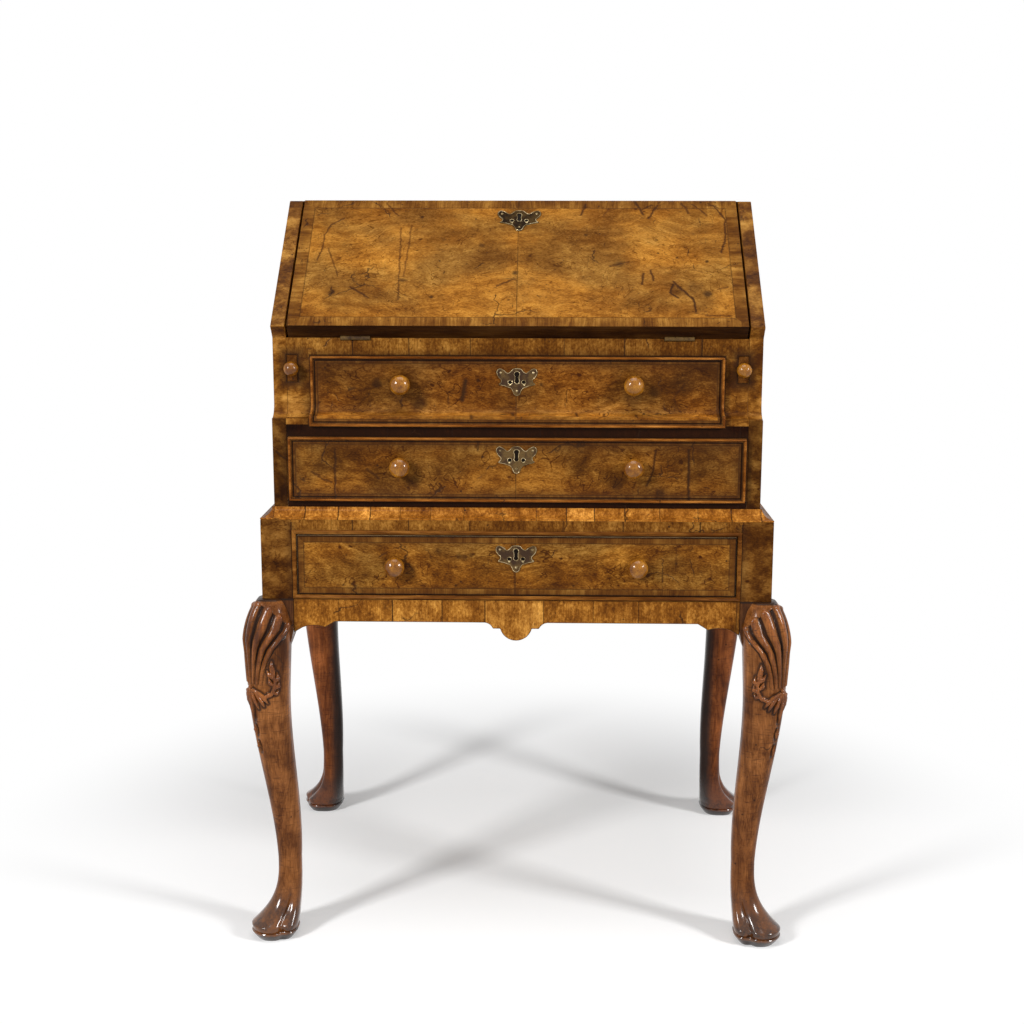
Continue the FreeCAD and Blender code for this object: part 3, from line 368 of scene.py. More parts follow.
# %% [markdown]
# ## Figure
# Walnut shows three scales at once: broad light and dark clouds, the wavering lines of its growth
# rings, and short dark pores that run with the grain. A burr has no single grain. Its rings close
# on themselves like contour lines on a map, round small dark eyes. Both are noise that is bent
# by slower noise before it is read.

# %% Straight and burr figure
def straight_figure(graph, grain, shift, length=22.0):
    # grain runs along the first coordinate, and a smaller length draws its clouds out along it
    bend = graph.noise(grain, (5.0, 11.0, 11.0), 2.0, 0.5, shift)
    wander = graph.vector("ADD", grain, graph.together(0.0, bend * 0.035, bend * 0.02))
    bands = graph.noise(wander, (5.0, 130.0, 130.0), 4.0, 0.6, shift + 3.1)
    fibre = graph.noise(wander, (40.0, 760.0, 760.0), 2.0, 0.6, shift + 7.7)
    pores = graph.patches(wander, (55.0, 1500.0, 1500.0), 1.0, 0.5, shift + 9.3, 0.6, 0.72)
    clouds = graph.noise(grain, (length, 24.0, 24.0), 5.0, 0.62, shift + 5.5)
    return bands * 0.34 + fibre * 0.22 + clouds * 0.44, pores


def burr_figure(graph, place, shift):
    drift = graph.noise(place, (6.0, 7.0, 7.0), 3.0, 0.55, shift, "Color")
    centred = graph.vector("SUBTRACT", drift, (0.5, 0.5, 0.5))
    pool = graph.vector("ADD", place, graph.vector("MULTIPLY", centred, (0.13, 0.10, 0.1)))
    clouds = graph.noise(pool, (10.0, 14.0, 13.0), 4.0, 0.55, shift + 2.0)
    ripple = graph.noise(pool, (44.0, 105.0, 90.0), 6.0, 0.66, shift + 6.0)
    fine = graph.noise(place, (300.0, 700.0, 500.0), 3.0, 0.7, shift + 7.0)
    level = graph.noise(pool, (16.0, 22.0, 20.0), 3.0, 0.55, shift + 4.0)
    curls = graph.smooth(graph.maths("SINE", level * 70.0), 0.92, 1.0) \
        * graph.patches(place, (18.0, 20.0, 19.0), 2.0, 0.5, shift + 9.0, 0.46, 0.56)
    cluster = graph.patches(place, (11.0, 14.0, 14.0), 2.0, 0.5, shift + 1.0, 0.54, 0.66)
    eyes = graph.near(graph.cells(pool, (52.0, 60.0, 60.0)), 0.04, 0.2) * cluster
    flecks = graph.patches(pool, (260.0, 620.0, 400.0), 2.0, 0.6, shift + 8.0, 0.58, 0.72)
    return clouds * 0.38 + ripple * 0.33 + fine * 0.29 - eyes * 0.2 - curls * 0.10, flecks


WALNUT = [(0.0, (0.060, 0.017, 0.0024)), (0.34, (0.165, 0.057, 0.006)), (0.5, (0.25, 0.097, 0.013)),
          (0.64, (0.35, 0.150, 0.023)), (0.85, (0.50, 0.235, 0.043)), (1.0, (0.62, 0.31, 0.065))]


def toned(stops, share, warmth=1.0):
    # the same wood, darker or paler, and redder where warmth is above 1
    return [(at, (c[0] * share * warmth, c[1] * share, c[2] * share)) for at, c in stops]


def stained_wood(graph, tone, low, high, stops):
    # noise stays near its middle, so its useful part is stretched over the whole ramp
    limits = {"Value": tone, "From Min": low, "From Max": high}
    return graph.ramp(graph.node("ShaderNodeMapRange", {}, limits), stops)


def polish(graph, figure, dull, bright):
    # the pale wood between the rings takes a higher polish
    return graph.smooth(figure, 0.35, 0.65, dull, bright)


# %% [markdown]
# ## Wear
# Three hundred years leave the same marks on every face: dirt that has settled into corners,
# scattered ink spots and pinholes, and fine cracks where the veneer has lifted over a joint.
# They are painted over the figure in one helper, so that all the boards age alike.

# %% Spots and cracks
def spots(graph, place, stretch, radius, shift):
    chosen = graph.noise(place, (14.0, 15.0, 15.0), 1.0, 0.5, shift + 4.4) > 0.52
    return graph.near(graph.cells(place, stretch, shift), radius * 0.55, radius) * chosen


def cracks(graph, place, stretch, width, shift, share):
    bend = graph.noise(place, (30.0, 34.0, 34.0), 3.0, 0.6, shift, "Color")
    bent = graph.vector("ADD", place, graph.vector("MULTIPLY", bend, (0.03, 0.03, 0.03)))
    edges = graph.cells(bent, stretch, 0.0, "DISTANCE_TO_EDGE")
    chosen = graph.patches(place, (16.0, 18.0, 18.0), 2.0, 0.5, shift + 2.2, share, share + 0.06)
    return graph.near(edges, width * 0.3, width) * chosen


def aged(graph, colour, place, shift, share=0.5):
    # a larger share leaves fewer cracks
    marks = spots(graph, place, (46.0, 50.0, 46.0), 0.085, shift)
    specks = spots(graph, place, (125.0, 135.0, 125.0), 0.12, shift + 20.0)
    lines = cracks(graph, place, (13.0, 16.0, 13.0), 0.014, shift, share + 0.07)
    streaks = graph.patches(place, (230.0, 34.0, 200.0), 3.0, 0.6, shift + 8.8, 0.63, 0.72) \
        * graph.patches(place, (13.0, 12.0, 13.0), 2.0, 0.5, shift + 9.9, 0.5, 0.62)
    grime = graph.patches(place, (11.0, 14.0, 12.0), 5.0, 0.66, shift + 6.1, 0.38, 0.64)
    colour = graph.mix(grime * 0.5, colour, graph.tint(colour, (0.50, 0.42, 0.38)))
    marked = graph.strongest(marks * 0.85, specks * 0.6, lines * 0.8, streaks * 0.7)
    return graph.mix(marked, colour, (0.028, 0.011, 0.004)), marked


# %% [markdown]
# Some marks are in known places, such as the ink stains round a keyhole, and the soft rings round
# the knobs, which are dirt and painted shade. They are listed for each board in millimetres from
# its middle. A split is drawn as a soft stained skirt with a narrow dark core, so both come from
# one measure of how close a point is to it.

# %% Stains, painted shade and splits in known places
def stains_and_shade(graph, colour, flat, marks):
    # each mark is its place across and up the board, its radius and how dark it is
    for x, y, radius, strength in marks:
        x, y, radius = x * MM, y * MM, radius * MM
        ragged = graph.noise(flat, (55.0, 55.0, 55.0), 4.0, 0.65, x * 40.0 + 3.0) * radius
        far = graph.vector("DISTANCE", flat, (x, y, 0.0)) + (ragged - radius * 0.5)
        dark = graph.near(far, radius * 0.2, radius, strength)
        colour = graph.mix(dark, colour, (0.022, 0.008, 0.003))
    return colour


def from_line(graph, flat, start, end):
    # how far each point lies from the straight line between two others
    way = Vector((end[0] - start[0], end[1] - start[1], 0.0)) * MM
    offset = graph.vector("SUBTRACT", flat, (start[0] * MM, start[1] * MM, 0.0))
    share = graph.vector("DOT_PRODUCT", offset, way / way.length_squared)
    share = graph.node("ShaderNodeClamp", {}, {"Value": share})
    nearest = graph.node("ShaderNodeVectorMath", {"operation": "SCALE"}, {0: way, "Scale": share})
    return graph.vector("DISTANCE", offset, nearest)


def splits(graph, flat, lines):
    # each line is its half width, its darkness and the points that it passes through
    wobble = graph.noise(flat, (120.0, 120.0, 120.0), 4.0, 0.6, 5.0, "Color")
    wobble = graph.vector("SUBTRACT", wobble, (0.5, 0.5, 0.5))
    bent = graph.vector("ADD", flat, graph.vector("MULTIPLY", wobble, (0.006, 0.006, 0.0)))
    close = 0.0
    for width, strength, points in lines:
        for start, end in zip(points, points[1:]):
            far = from_line(graph, bent, start, end)
            near = graph.near(far, width * MM * 0.3, width * MM * 3.2, strength)
            close = graph.strongest(near, close)
    return close


# %% [markdown]
# ## Veneered fronts
# The fall and the drawer fronts are faced with burr walnut: two leaves cut one after the other
# and opened like a book, so the figure is mirrored about the joint. A narrow band of cross-cut
# walnut frames each one, set off by a dark line. The distance from the edge of the
# board drives all of it: the band, the line, the groove beside the lip, darkened for its dirt and
# as painted shade, the painted shadow of the flush drawer's gap, and the dirt along the edge.
# How a front meets its neighbours decides the rest: it is lipped, flush inside a bead, or proud.

# %% Veneered front finish
LIP_BEAD = 0.0017
LIP_GROOVE = 0.0056
DIRT_REACH = 0.018
GAP_SHADOW_BLACK = (0.006, 0.003, 0.002)
JOINT_BROWN = (0.012, 0.005, 0.003)
UP = (0.0, 0.0, 1.0)
FORWARD = (0.0, -1.0, 0.0)
# the ramp's limits, the band's tone, the flecks, where the dirt starts and how dark it is, the shine
FITTINGS = {
    "lipped": (0.375, 0.635, 0.94, 0.6, LIP_GROOVE, 0.6, 0.06),
    "flush": (0.375, 0.635, 0.94, 0.6, 0.001, 0.6, 0.06),
    "proud": (0.315, 0.685, 0.84, 0.75, 0.001, 0.25, 0.03),
}


def front_finish(name, seat, half_width, half_height, band, fitting, tone, warmth, shift,
                 marks, lines, rubbed=0.0):
    low, high, band_tone, fleck_share, dirt_start, dirt, shine = FITTINGS[fitting]
    material, graph = new_finish(name)
    across, rise, depth = board_place(graph, *seat)
    board = graph.together(across, rise, depth)
    leaf = graph.together(abs(across), rise, depth + graph.maths("SIGN", across) * 0.004)
    figure, flecks = burr_figure(graph, leaf, shift)
    field = stained_wood(graph, figure, low, high, toned(WALNUT, tone, warmth))
    golden = graph.patches(leaf, (9.0, 12.0, 12.0), 3.0, 0.55, shift + 15.0, 0.36, 0.64)
    olive, amber = [graph.tint(field, factors) for factors in ((0.84, 0.90, 1.0), (1.12, 1.06, 0.85))]
    field = graph.mix(golden, olive, amber)
    # painted highlight: the lower part of the board, where the upper drawer's hollow turns up to the
    # light, is made paler by the share given as rubbed
    painted_hollow_light = graph.smooth(rise, half_height * -0.30, half_height * -0.62, 0.0, rubbed)
    field = graph.mix(painted_hollow_light, field, graph.tint(field, (1.9, 1.8, 1.3)))

    side = half_width - abs(across)
    end = half_height - abs(rise)
    edge = graph.maths("MINIMUM", side, end)
    sideways = graph.node("ShaderNodeMix", {"data_type": "VECTOR"}, {
        0: side < end, 4: graph.together(rise, across, depth), 5: board}, 1)
    cross = straight_figure(graph, sideways, shift + 11.0)[0]
    banding = stained_wood(graph, cross, 0.34, 0.68, toned(WALNUT, tone * band_tone, warmth))
    colour = graph.mix(graph.near(edge, band - 0.0004, band + 0.0004), field, banding)
    colour = graph.mix(flecks * fleck_share, colour, (0.045, 0.015, 0.003))

    flat = graph.together(across, rise, 0.0)
    line = graph.near(abs(edge - band), 0.0004, 0.0011)
    joint = graph.near(abs(across + 0.001), 0.0003, 0.0009)
    close = splits(graph, flat, lines)
    colour = graph.mix(close * 0.5, colour, graph.tint(colour, (0.62, 0.40, 0.30)))
    scored = graph.strongest(graph.maths("POWER", close * 1.12, 2.4), line * 0.5, joint * 0.55)
    shade = graph.near(edge, dirt_start, dirt_start + DIRT_REACH, dirt)
    colour = graph.mix(shade, colour, (0.06, 0.02, 0.005))
    colour = stains_and_shade(graph, colour, flat, marks)
    colour, marked = aged(graph, colour, board, shift)
    colour = graph.mix(scored, colour, (0.03, 0.012, 0.004))
    height = figure * 0.12 - graph.strongest(marked, scored) * 0.6 - flecks * 0.05
    rough = polish(graph, figure, 0.46, 0.36)
    if fitting == "flush":
        # painted shadow of the gap round the stand drawer, as a black rim on the front's edge
        gap = graph.near(edge, 0.0008, 0.0030)
        colour = graph.mix(gap * 0.97, colour, GAP_SHADOW_BLACK)
        rough = graph.strongest(rough, gap)
    if fitting == "lipped":
        # the groove beside the lip is darkened for the dirt in it and as painted shade
        groove = graph.near(abs(edge - LIP_GROOVE), 0.0004, 0.0012)
        colour = graph.mix(groove * 0.9, colour, JOINT_BROWN)
        height = height - groove * 1.5
    return varnish(material, graph, colour, rough, height, 0.0006, 0.0, shine)


print("front finish ready for", list(FITTINGS))

# %% [markdown]
# Shade is painted onto the frame beside the edges of the drawers and round the lopers: a black
# line close to each and a softer dark band beyond it. Along the joints where the stand's rails
# meet its posts there is a dark joint line with dirt beside it. The holes are read from the frame.

# %% The painted shadow round the drawers and lopers
POST_EDGE = 0.290
STAND_TOP = 0.572
LOPER_HALF = 0.0068
# each hole: its middle across, half width, foot, top, and how far and how dark the painted shade round
# it reaches
FRONT_HOLES = []
for drawer in DRAWERS:
    low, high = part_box(drawer + "_front")
    FRONT_HOLES.append((0.0, high.x, low.z, high.z, 0.012, 0.45))
low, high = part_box("right_loper")
FRONT_HOLES.append(((low.x + high.x) / 2, LOPER_HALF, low.z, high.z, 0.016, 0.85))


def gap_shade(graph, colour):
    x, z = graph.parts(graph.object_place())[::2]
    for centre, half, low, high, reach, strength in FRONT_HOLES:
        beyond = graph.strongest(abs(abs(x) - centre) - half, low - z, z - high)
        # painted shadow: a black line close round each drawer and loper, and a softer dark band beyond
        # it
        colour = graph.mix(graph.near(beyond, 0.0006, 0.0026, 0.95), colour, GAP_SHADOW_BLACK)
        colour = graph.mix(graph.near(beyond, 0.0, reach, strength), colour, (0.03, 0.011, 0.004))
    from_post = abs(abs(x) - POST_EDGE)
    seam = graph.strongest(graph.near(from_post, 0.0004, 0.0016, 0.85),
                           graph.near(from_post, 0.0, 0.013, 0.35))
    return graph.mix(seam * (z < STAND_TOP), colour, (0.02, 0.008, 0.004))


print("holes in the front", len(FRONT_HOLES))

# %% [markdown]
# ## Plain walnut, crossbanding and burr
# The case and its rails are veneered too. On a rail the grain runs across it, from arris to
# arris, in short lengths that meet at fine joints. The posts and the narrow uprights are plain
# burr. Each finish is the same wood at its own tone: how pale it is, and how red.

# %% Walnut finishes
def walnut_finish(name, along, tone, warmth, shift):
    material, graph = new_finish(name)
    grain = grained(graph, along)
    figure, pores = straight_figure(graph, grain, shift, 5.0)
    slow = graph.noise(grain, (1.5, 11.0, 11.0), 2.0, 0.45, shift + 16.0)
    rings = graph.maths("SINE", slow * 150.0) * 0.5
    colour = stained_wood(graph, figure + rings * 0.05, 0.33, 0.67, toned(WALNUT, tone, warmth))
    colour = graph.mix(pores * 0.45, colour, (0.04, 0.015, 0.005))
    colour, marked = aged(graph, colour, grain, shift, 0.56)
    height = figure * 0.1 - pores * 0.12 - marked * 0.6
    return varnish(material, graph, colour, polish(graph, figure, 0.44, 0.32), height, 0.0005)


def crossband_finish(name, run, along, length, tone, warmth, shift):
    # pieces of veneer of about the given length that follow one another along the run
    material, graph = new_finish(name)
    place = graph.object_place()
    way = graph.parts(place)[AXES[run][0]]
    jitter = graph.noise(graph.together(way, 0.0, 0.0), (6.0, 1.0, 1.0), 0.0, 0.5, shift) * length
    count = (way + jitter) / length
    leaf = graph.maths("FLOOR", count)
    within = count - leaf
    draw = graph.chance(leaf + shift)
    grain = graph.vector("ADD", grained(graph, along), graph.together(draw * 3.0, leaf * 0.07, 0.0))
    figure, pores = straight_figure(graph, grain, shift)
    blotch = graph.noise(place, (55.0, 55.0, 55.0), 5.0, 0.65, shift + 13.0)
    fine = graph.noise(place, (380.0, 380.0, 260.0), 3.0, 0.7, shift + 17.0)
    tones = figure * 0.42 + draw * 0.06 + blotch * 0.24 + fine * 0.26 + 0.01
    colour = stained_wood(graph, tones, 0.39, 0.63, toned(WALNUT, tone, warmth))
    colour = graph.mix(pores * 0.35, colour, (0.04, 0.015, 0.005))
    gap = 0.0013 / length
    joint = graph.strongest(graph.near(within, 0.0, gap), graph.smooth(within, 1 - gap, 1.0))
    colour = graph.mix(joint * (draw > 0.2) * 0.95, colour, JOINT_BROWN)
    colour, marked = aged(graph, colour, place, shift, 0.48)
    height = figure * 0.1 - pores * 0.1 - graph.strongest(marked, joint) * 0.6
    rough = polish(graph, figure, 0.42, 0.3)
    return varnish(material, graph, gap_shade(graph, colour), rough, height, 0.0005)


def burr_finish(name, tone, warmth, shift):
    material, graph = new_finish(name)
    x, y, z = graph.parts(graph.object_place())
    place = graph.together(x, z, y)
    figure, flecks = burr_figure(graph, place, shift)
    blotch = graph.noise(graph.object_place(), (30.0, 30.0, 34.0), 5.0, 0.62, shift + 13.0)
    tones = figure * 0.7 + blotch * 0.75 - 0.225
    colour = stained_wood(graph, tones, 0.37, 0.64, toned(WALNUT, tone, warmth))
    colour = graph.mix(flecks * 0.5, colour, (0.035, 0.012, 0.003))
    colour, marked = aged(graph, colour, place, shift, 0.5)
    height = figure * 0.12 - marked * 0.6 - flecks * 0.05
    rough = polish(graph, figure, 0.42, 0.3)
    return varnish(material, graph, gap_shade(graph, colour), rough, height, 0.0005)


side_veneer = walnut_finish("side_veneer", "Z", 0.7, 1.02, 21.0)
top_veneer = walnut_finish("top_veneer", "X", 1.0, 1.0, 24.0)
board_walnut = walnut_finish("board_walnut", "X", 0.6, 1.05, 27.0)
bead_walnut = walnut_finish("bead_walnut", "X", 0.62, 1.12, 31.0)
divider_walnut = walnut_finish("divider_walnut", "Z", 0.6, 1.05, 29.0)
lip_walnut = walnut_finish("lip_walnut", "X", 0.72, 1.2, 83.0)
fall_edge = walnut_finish("fall_edge", "X", 0.1, 1.25, 81.0)
loper_wood = walnut_finish("loper_wood", "Y", 0.32, 1.2, 87.0)
rail_crossband = crossband_finish("rail_crossband", "X", "Z", 0.09, 0.75, 1.02, 33.0)
# painted shadow: a nearly black crossband for the rail under the upper drawer's lip and the case
# bottom's front
shadowed_crossband = crossband_finish("shadowed_crossband", "X", "Z", 0.12, 0.028, 1.9, 35.0)
apron_crossband = crossband_finish("apron_crossband", "X", "Z", 0.066, 1.34, 1.0, 37.0)
moulding_crossband = crossband_finish("moulding_crossband", "X", "Z", 0.042, 1.58, 1.03, 41.0)
side_crossband = crossband_finish("side_crossband", "Y", "Z", 0.1, 0.72, 1.02, 43.0)
slope_burr = burr_finish("slope_burr", 0.72, 1.0, 45.0)
stile_burr = burr_finish("stile_burr", 0.84, 1.03, 47.0)
# painted shade: a dark burr for the uprights beside the drawers, the case sides' front edges low down
# and the apron's arrises
shadowed_burr = burr_finish("shadowed_burr", 0.34, 1.06, 49.0)
post_burr = burr_finish("post_burr", 0.465, 1.07, 93.0)
print("walnut finishes", [material.name for material in bpy.data.materials][1:])

# %% [markdown]
# ## Oak, brass, iron and the knobs' wood
# Drawer linings are oak, the plates are brass that has gone dark, and the locks are iron. The
# knobs are of a paler, close-grained wood, rubbed to a high polish by hands, and a thin clear
# coat gives the small bright window that every one of them reflects.

# %% Oak, brass and iron
OAK = [(0.0, (0.16, 0.09, 0.04)), (0.5, (0.36, 0.23, 0.115)), (1.0, (0.52, 0.37, 0.21))]
KNOB_STOPS = [(0.0, (0.12, 0.036, 0.003)), (0.5, (0.245, 0.088, 0.005)), (1.0, (0.42, 0.175, 0.015))]


def lining_finish(name, along, shift, board=0.0):
    # board is the width of the boards that are joined edge to edge, where there is more than one
    material, graph = new_finish(name)
    grain = grained(graph, along)
    figure, pores = straight_figure(graph, grain, shift)
    colour = stained_wood(graph, figure, 0.35, 0.66, OAK)
    colour = graph.mix(pores * 0.5, colour, (0.12, 0.065, 0.03))
    dust = graph.patches(grain, (5.0, 6.0, 6.0), 4.0, 0.6, shift + 2.0, 0.4, 0.66)
    colour = graph.mix(dust * 0.35, colour, (0.12, 0.08, 0.05))
    height = figure * 0.2 - pores * 0.3
    if board:
        count = graph.parts(graph.object_place())[2] / board
        leaf = graph.maths("FLOOR", count)
        joint = graph.near(abs(count - leaf - 0.5) * board, 0.0006, 0.0016)
        paler = graph.chance(leaf + shift)
        colour = graph.mix(paler * 0.45, colour, graph.tint(colour, (0.62, 0.60, 0.58)))
        colour = graph.mix(joint, colour, (0.012, 0.008, 0.006))
        height = height - joint * 2.0
    rough = graph.smooth(figure, 0.3, 0.7, 0.85, 0.7)
    return varnish(material, graph, colour, rough, height, 0.0005, 0.0, 0.3)


def metal_finish(name, dark, bright, shift, dull, rubbed, metallic, mirror=0.2):
    # old metal: bright where hands rub it and dark in its hollows
    material, graph = new_finish(name)
    place = graph.object_place()
    patches = graph.noise(place, (70.0, 70.0, 70.0), 5.0, 0.62, shift)
    pits = graph.noise(place, (420.0, 420.0, 420.0), 3.0, 0.6, shift + 3.0)
    colour = graph.mix(graph.smooth(patches, 0.38, 0.62), dark, bright)
    deep = tuple(share * 0.5 for share in dark)
    colour = graph.mix(graph.smooth(pits, 0.55, 0.7) * 0.6, colour, deep)
    rough = polish(graph, patches, dull, rubbed)
    height = patches * 0.5 + pits * 0.5
    return varnish(material, graph, colour, rough, height, 0.0003, 0.0, mirror, metallic)


def knob_finish(name, shift):
    material, graph = new_finish(name)
    figure, pores = straight_figure(graph, grained(graph, "Y"), shift)
    colour = stained_wood(graph, figure, 0.41, 0.60, KNOB_STOPS)
    colour = graph.mix(pores * 0.3, colour, (0.1, 0.04, 0.012))
    height = figure * 0.15 - pores * 0.1
    return varnish(material, graph, colour, polish(graph, figure, 0.34, 0.24), height, 0.0003, 0.6)


def shadow_finish(name):
    material, graph = new_finish(name)
    smudge = graph.noise(graph.object_place(), (300.0, 300.0, 300.0), 3.0, 0.5, 1.0)
    colour = graph.mix(smudge, (0.002, 0.0015, 0.001), (0.012, 0.008, 0.005))
    return varnish(material, graph, colour, smudge, smudge, 0.0001)


oak_along_y = lining_finish("oak_along_y", "Y", 51.0)
oak_along_x = lining_finish("oak_along_x", "X", 53.0)
back_boards = lining_finish("back_boards", "X", 55.0, 0.135)
plate_brass = metal_finish("plate_brass", (0.035, 0.016, 0.006), (0.11, 0.062, 0.018),
                           61.0, 0.5, 0.38, 0.12)
rubbed_brass = metal_finish("rubbed_brass", (0.12, 0.08, 0.03), (0.48, 0.37, 0.20),
                            63.0, 0.4, 0.26, 0.6)
# a darker copy of the plate brass for the fall: painted shade against the extra light that the slope
# catches
shaded_fall_brass = metal_finish("shaded_fall_brass", (0.012, 0.006, 0.002), (0.05, 0.027, 0.007),
                          67.0, 0.6, 0.5, 0.0, 0.04)
lock_iron = metal_finish("lock_iron", (0.05, 0.045, 0.04), (0.13, 0.12, 0.11), 65.0, 0.62, 0.45, 0.7)
knob_wood = knob_finish("knob_wood", 85.0)
hole_shadow_sheet = shadow_finish("keyhole_shadow")
print("finishes", len(bpy.data.materials))

# %% [markdown]
# ## Easing the arrises
# No cabinet maker leaves a knife-sharp edge, and a dead sharp one catches no light in a picture.
# Every plain board is therefore copied from the frame, its loose triangles are merged, and its
# arrises are rounded by a fraction of a millimetre. The copy then stands for the
# CAD node. A rule can hand some faces to another finish, such as veneer on the face of
# an oak drawer, and the rounded edge itself can have one too.

# %% Dress a board
SHARP_ANGLE = math.radians(40)
ARRIS_ANGLE = math.radians(35)


def merged_copy(name):
    form = bmesh.new()
    form.from_mesh(nodes[name].data)
    bmesh.ops.remove_doubles(form, verts=form.verts, dist=1e-6)
    bmesh.ops.dissolve_limit(form, angle_limit=0.01, verts=form.verts, edges=form.edges)
    return form


def dress(name, body, slot, finishes, rule=None, arris=0.0007, segments=2, edge_finish=-1):
    form = merged_copy(name)
    if rule:
        for face in form.faces:
            face.material_index = rule(face.normal, face.calc_center_median())
    mesh = mesh_from(form, "dressed_" + name, finishes)
    mesh.shade_smooth()
    mesh.set_sharp_from_angle(angle=SHARP_ANGLE)
    board = add_object("dressed_" + name, mesh)
    round_over = board.modifiers.new("arris", "BEVEL")
    round_over.width = arris
    round_over.segments = segments
    round_over.limit_method = "ANGLE"
    round_over.angle_limit = ARRIS_ANGLE
    round_over.harden_normals = True
    round_over.material = edge_finish
    finished = settled_mesh(board)
    board.modifiers.clear()
    board.data = finished
    place_piece(board, body, [name])


def dress_all(body, slot, boards):
    # each board's finishes, and then what differs from a plain one: its rule, arris and so on
    for name, choices in boards.items():
        dress(name, body, slot, *choices)
    print(body, slot, len(boards), "boards")


# %% [markdown]
# ## The case
# The case is a box of veneered boards: two sides cut to the slope, a top, the rails between the
# drawers and the oak bottom and back. Only the faces that show are veneered. The front edges of
# the sides carry strips of burr, so the rule below looks at which way a face points.

# %% Case boards
SHADED_BELOW = 0.70
SLOPE_FOOT = 0.79


def front_rule(normal, centre):
    return 1 if normal.y < -0.3 else 0


def case_side_rule(normal, centre):
    # veneer on the flank, and on the front edge burr painted dark as shade low down, plain burr or the
    # slope's own burr
    if normal.y > -0.3:
        return 0
    if normal.z < 0.3 and centre.z < SHADED_BELOW:
        return 3
    return 1 if normal.z < 0.3 or centre.z < SLOPE_FOOT else 2


case_side = ([side_veneer, stile_burr, slope_burr, shadowed_burr], case_side_rule, 0.001)
dress_all("bureau", "walnut_veneer", {
    "case_left_side": case_side,
    "case_right_side": case_side,
    "case_top": ([top_veneer, rail_crossband], front_rule, 0.0008),
    "hinge_rail": ([board_walnut, rail_crossband], front_rule, 0.0005),
    # the drawer rail, the lower stiles and the case bottom's front take finishes painted dark as shade
    "drawer_rail": ([board_walnut, shadowed_crossband], front_rule, 0.0005),
    "lower_stiles": ([board_walnut, shadowed_burr], front_rule, 0.0003),
    "loper_guides": ([board_walnut, stile_burr], front_rule, 0.0004),
    "writing_bed": ([board_walnut],),
    "case_bottom": ([oak_along_x, shadowed_crossband], front_rule, 0.0005),
    "gallery_shelf": ([board_walnut], None, 0.0012),
    "gallery_dividers": ([divider_walnut], None, 0.0012),
})
dress_all("bureau", "drawer_lining", {"dust_board": ([oak_along_x],), "case_back": ([back_boards],)})

# %% [markdown]
# ## The stand
# The stand's rails are crossbanded, with the joints of the short veneers showing as fine dark
# lines, and the drawer opening has a rounded bead of solid wood. The hollow moulding that
# holds the case is cross-grained too, which gives its top the stripes that catch the light.

# %% Stand boards
OUTER_FACE = 0.325


def outer_side_rule(normal, centre):
    return 1 if abs(normal.x) > 0.5 and abs(centre.x) > OUTER_FACE else 0


stand_side = ([oak_along_y, side_crossband], outer_side_rule, 0.0008)
dress_all("bureau", "walnut_veneer", {
    # the apron's rounded arrises take the dark burr, as painted shade along its edges
    "apron": ([board_walnut, apron_crossband, shadowed_burr], front_rule, 0.0009, 2, 2),
    "stand_top_rail": ([board_walnut, rail_crossband], front_rule, 0.0003),
    "stand_left_side": stand_side,
    "stand_right_side": stand_side,
})
dress_all("bureau", "drawer_lining", {
    "stand_back_rail": ([oak_along_x],),
    "stand_drawer_runners": ([oak_along_y],),
})
dress_all("bureau", "solid_walnut", {
    "stand_bead_rails": ([bead_walnut], None, 0.0001, 1),
    "stand_bead_sides": ([bead_walnut], None, 0.0001, 1),
    "stand_front_moulding": ([moulding_crossband], None, 0.0005),
    "stand_side_mouldings": ([side_crossband], None, 0.0005),
})

# %% [markdown]
# ## Drawers
# A drawer is an oak box with a veneered front. The upper two have a lip all round
# with a small bead on its edge, which hides the gap when they are shut. The stand's drawer
# closes flush inside the bead instead. The fronts are mirrored burr, and the boxes stay bare.

# %% Marks on the drawer fronts
# the two marks 150 mm either side, of about 20 mm radius, are soft rings round the knobs: dirt and
# painted shade
UPPER_MARKS = [
    (-126, -7, 17, 0.75), (-180, 18, 9, 0.7), (176, 9, 12, 0.6), (-50, 23, 4, 0.8), (31, 18, 4, 0.7),
    (-150, 3, 20, 0.45), (150, 0, 18, 0.5), (0, 4, 30, 0.35), (-235, -20, 20, 0.3), (210, 20, 20, 0.4)]
UPPER_LINES = [
    (2.2, 0.85, [(-66, 22), (-71, -2)]), (1.8, 0.8, [(-58, -32), (-58, -41)]),
    (1.1, 0.8, [(76, -24), (77, -35)]), (1.2, 0.8, [(112, -26), (111, -35)]),
    (1.1, 0.8, [(153, -28), (154, -40)]), (1.8, 0.8, [(-6, -25), (-5, -32)]),
    (0.8, 0.6, [(215, 20), (200, 0), (210, -20)])]
# the two marks 150 mm either side are the rings round the knobs: dirt and painted shade
MIDDLE_MARKS = [
    (128, -20, 14, 0.6), (-134, -15, 15, 0.5), (185, -29, 10, 0.5), (150, 2, 18, 0.45),
    (-150, 2, 18, 0.4), (0, 6, 30, 0.3), (-250, 0, 16, 0.3)]
MIDDLE_LINES = [
    (0.9, 0.8, [(-233, 26), (-234, -39)]), (1.1, 0.7, [(-193, 0), (-178, -11)]),
    (1.1, 0.7, [(-264, -4), (-239, -18)]), (1.2, 0.85, [(220, 26), (221, -40)]),
    (1.0, 0.8, [(178, 26), (175, 0), (167, -20)]), (0.9, 0.6, [(188, -30), (179, -24), (181, -36)])]
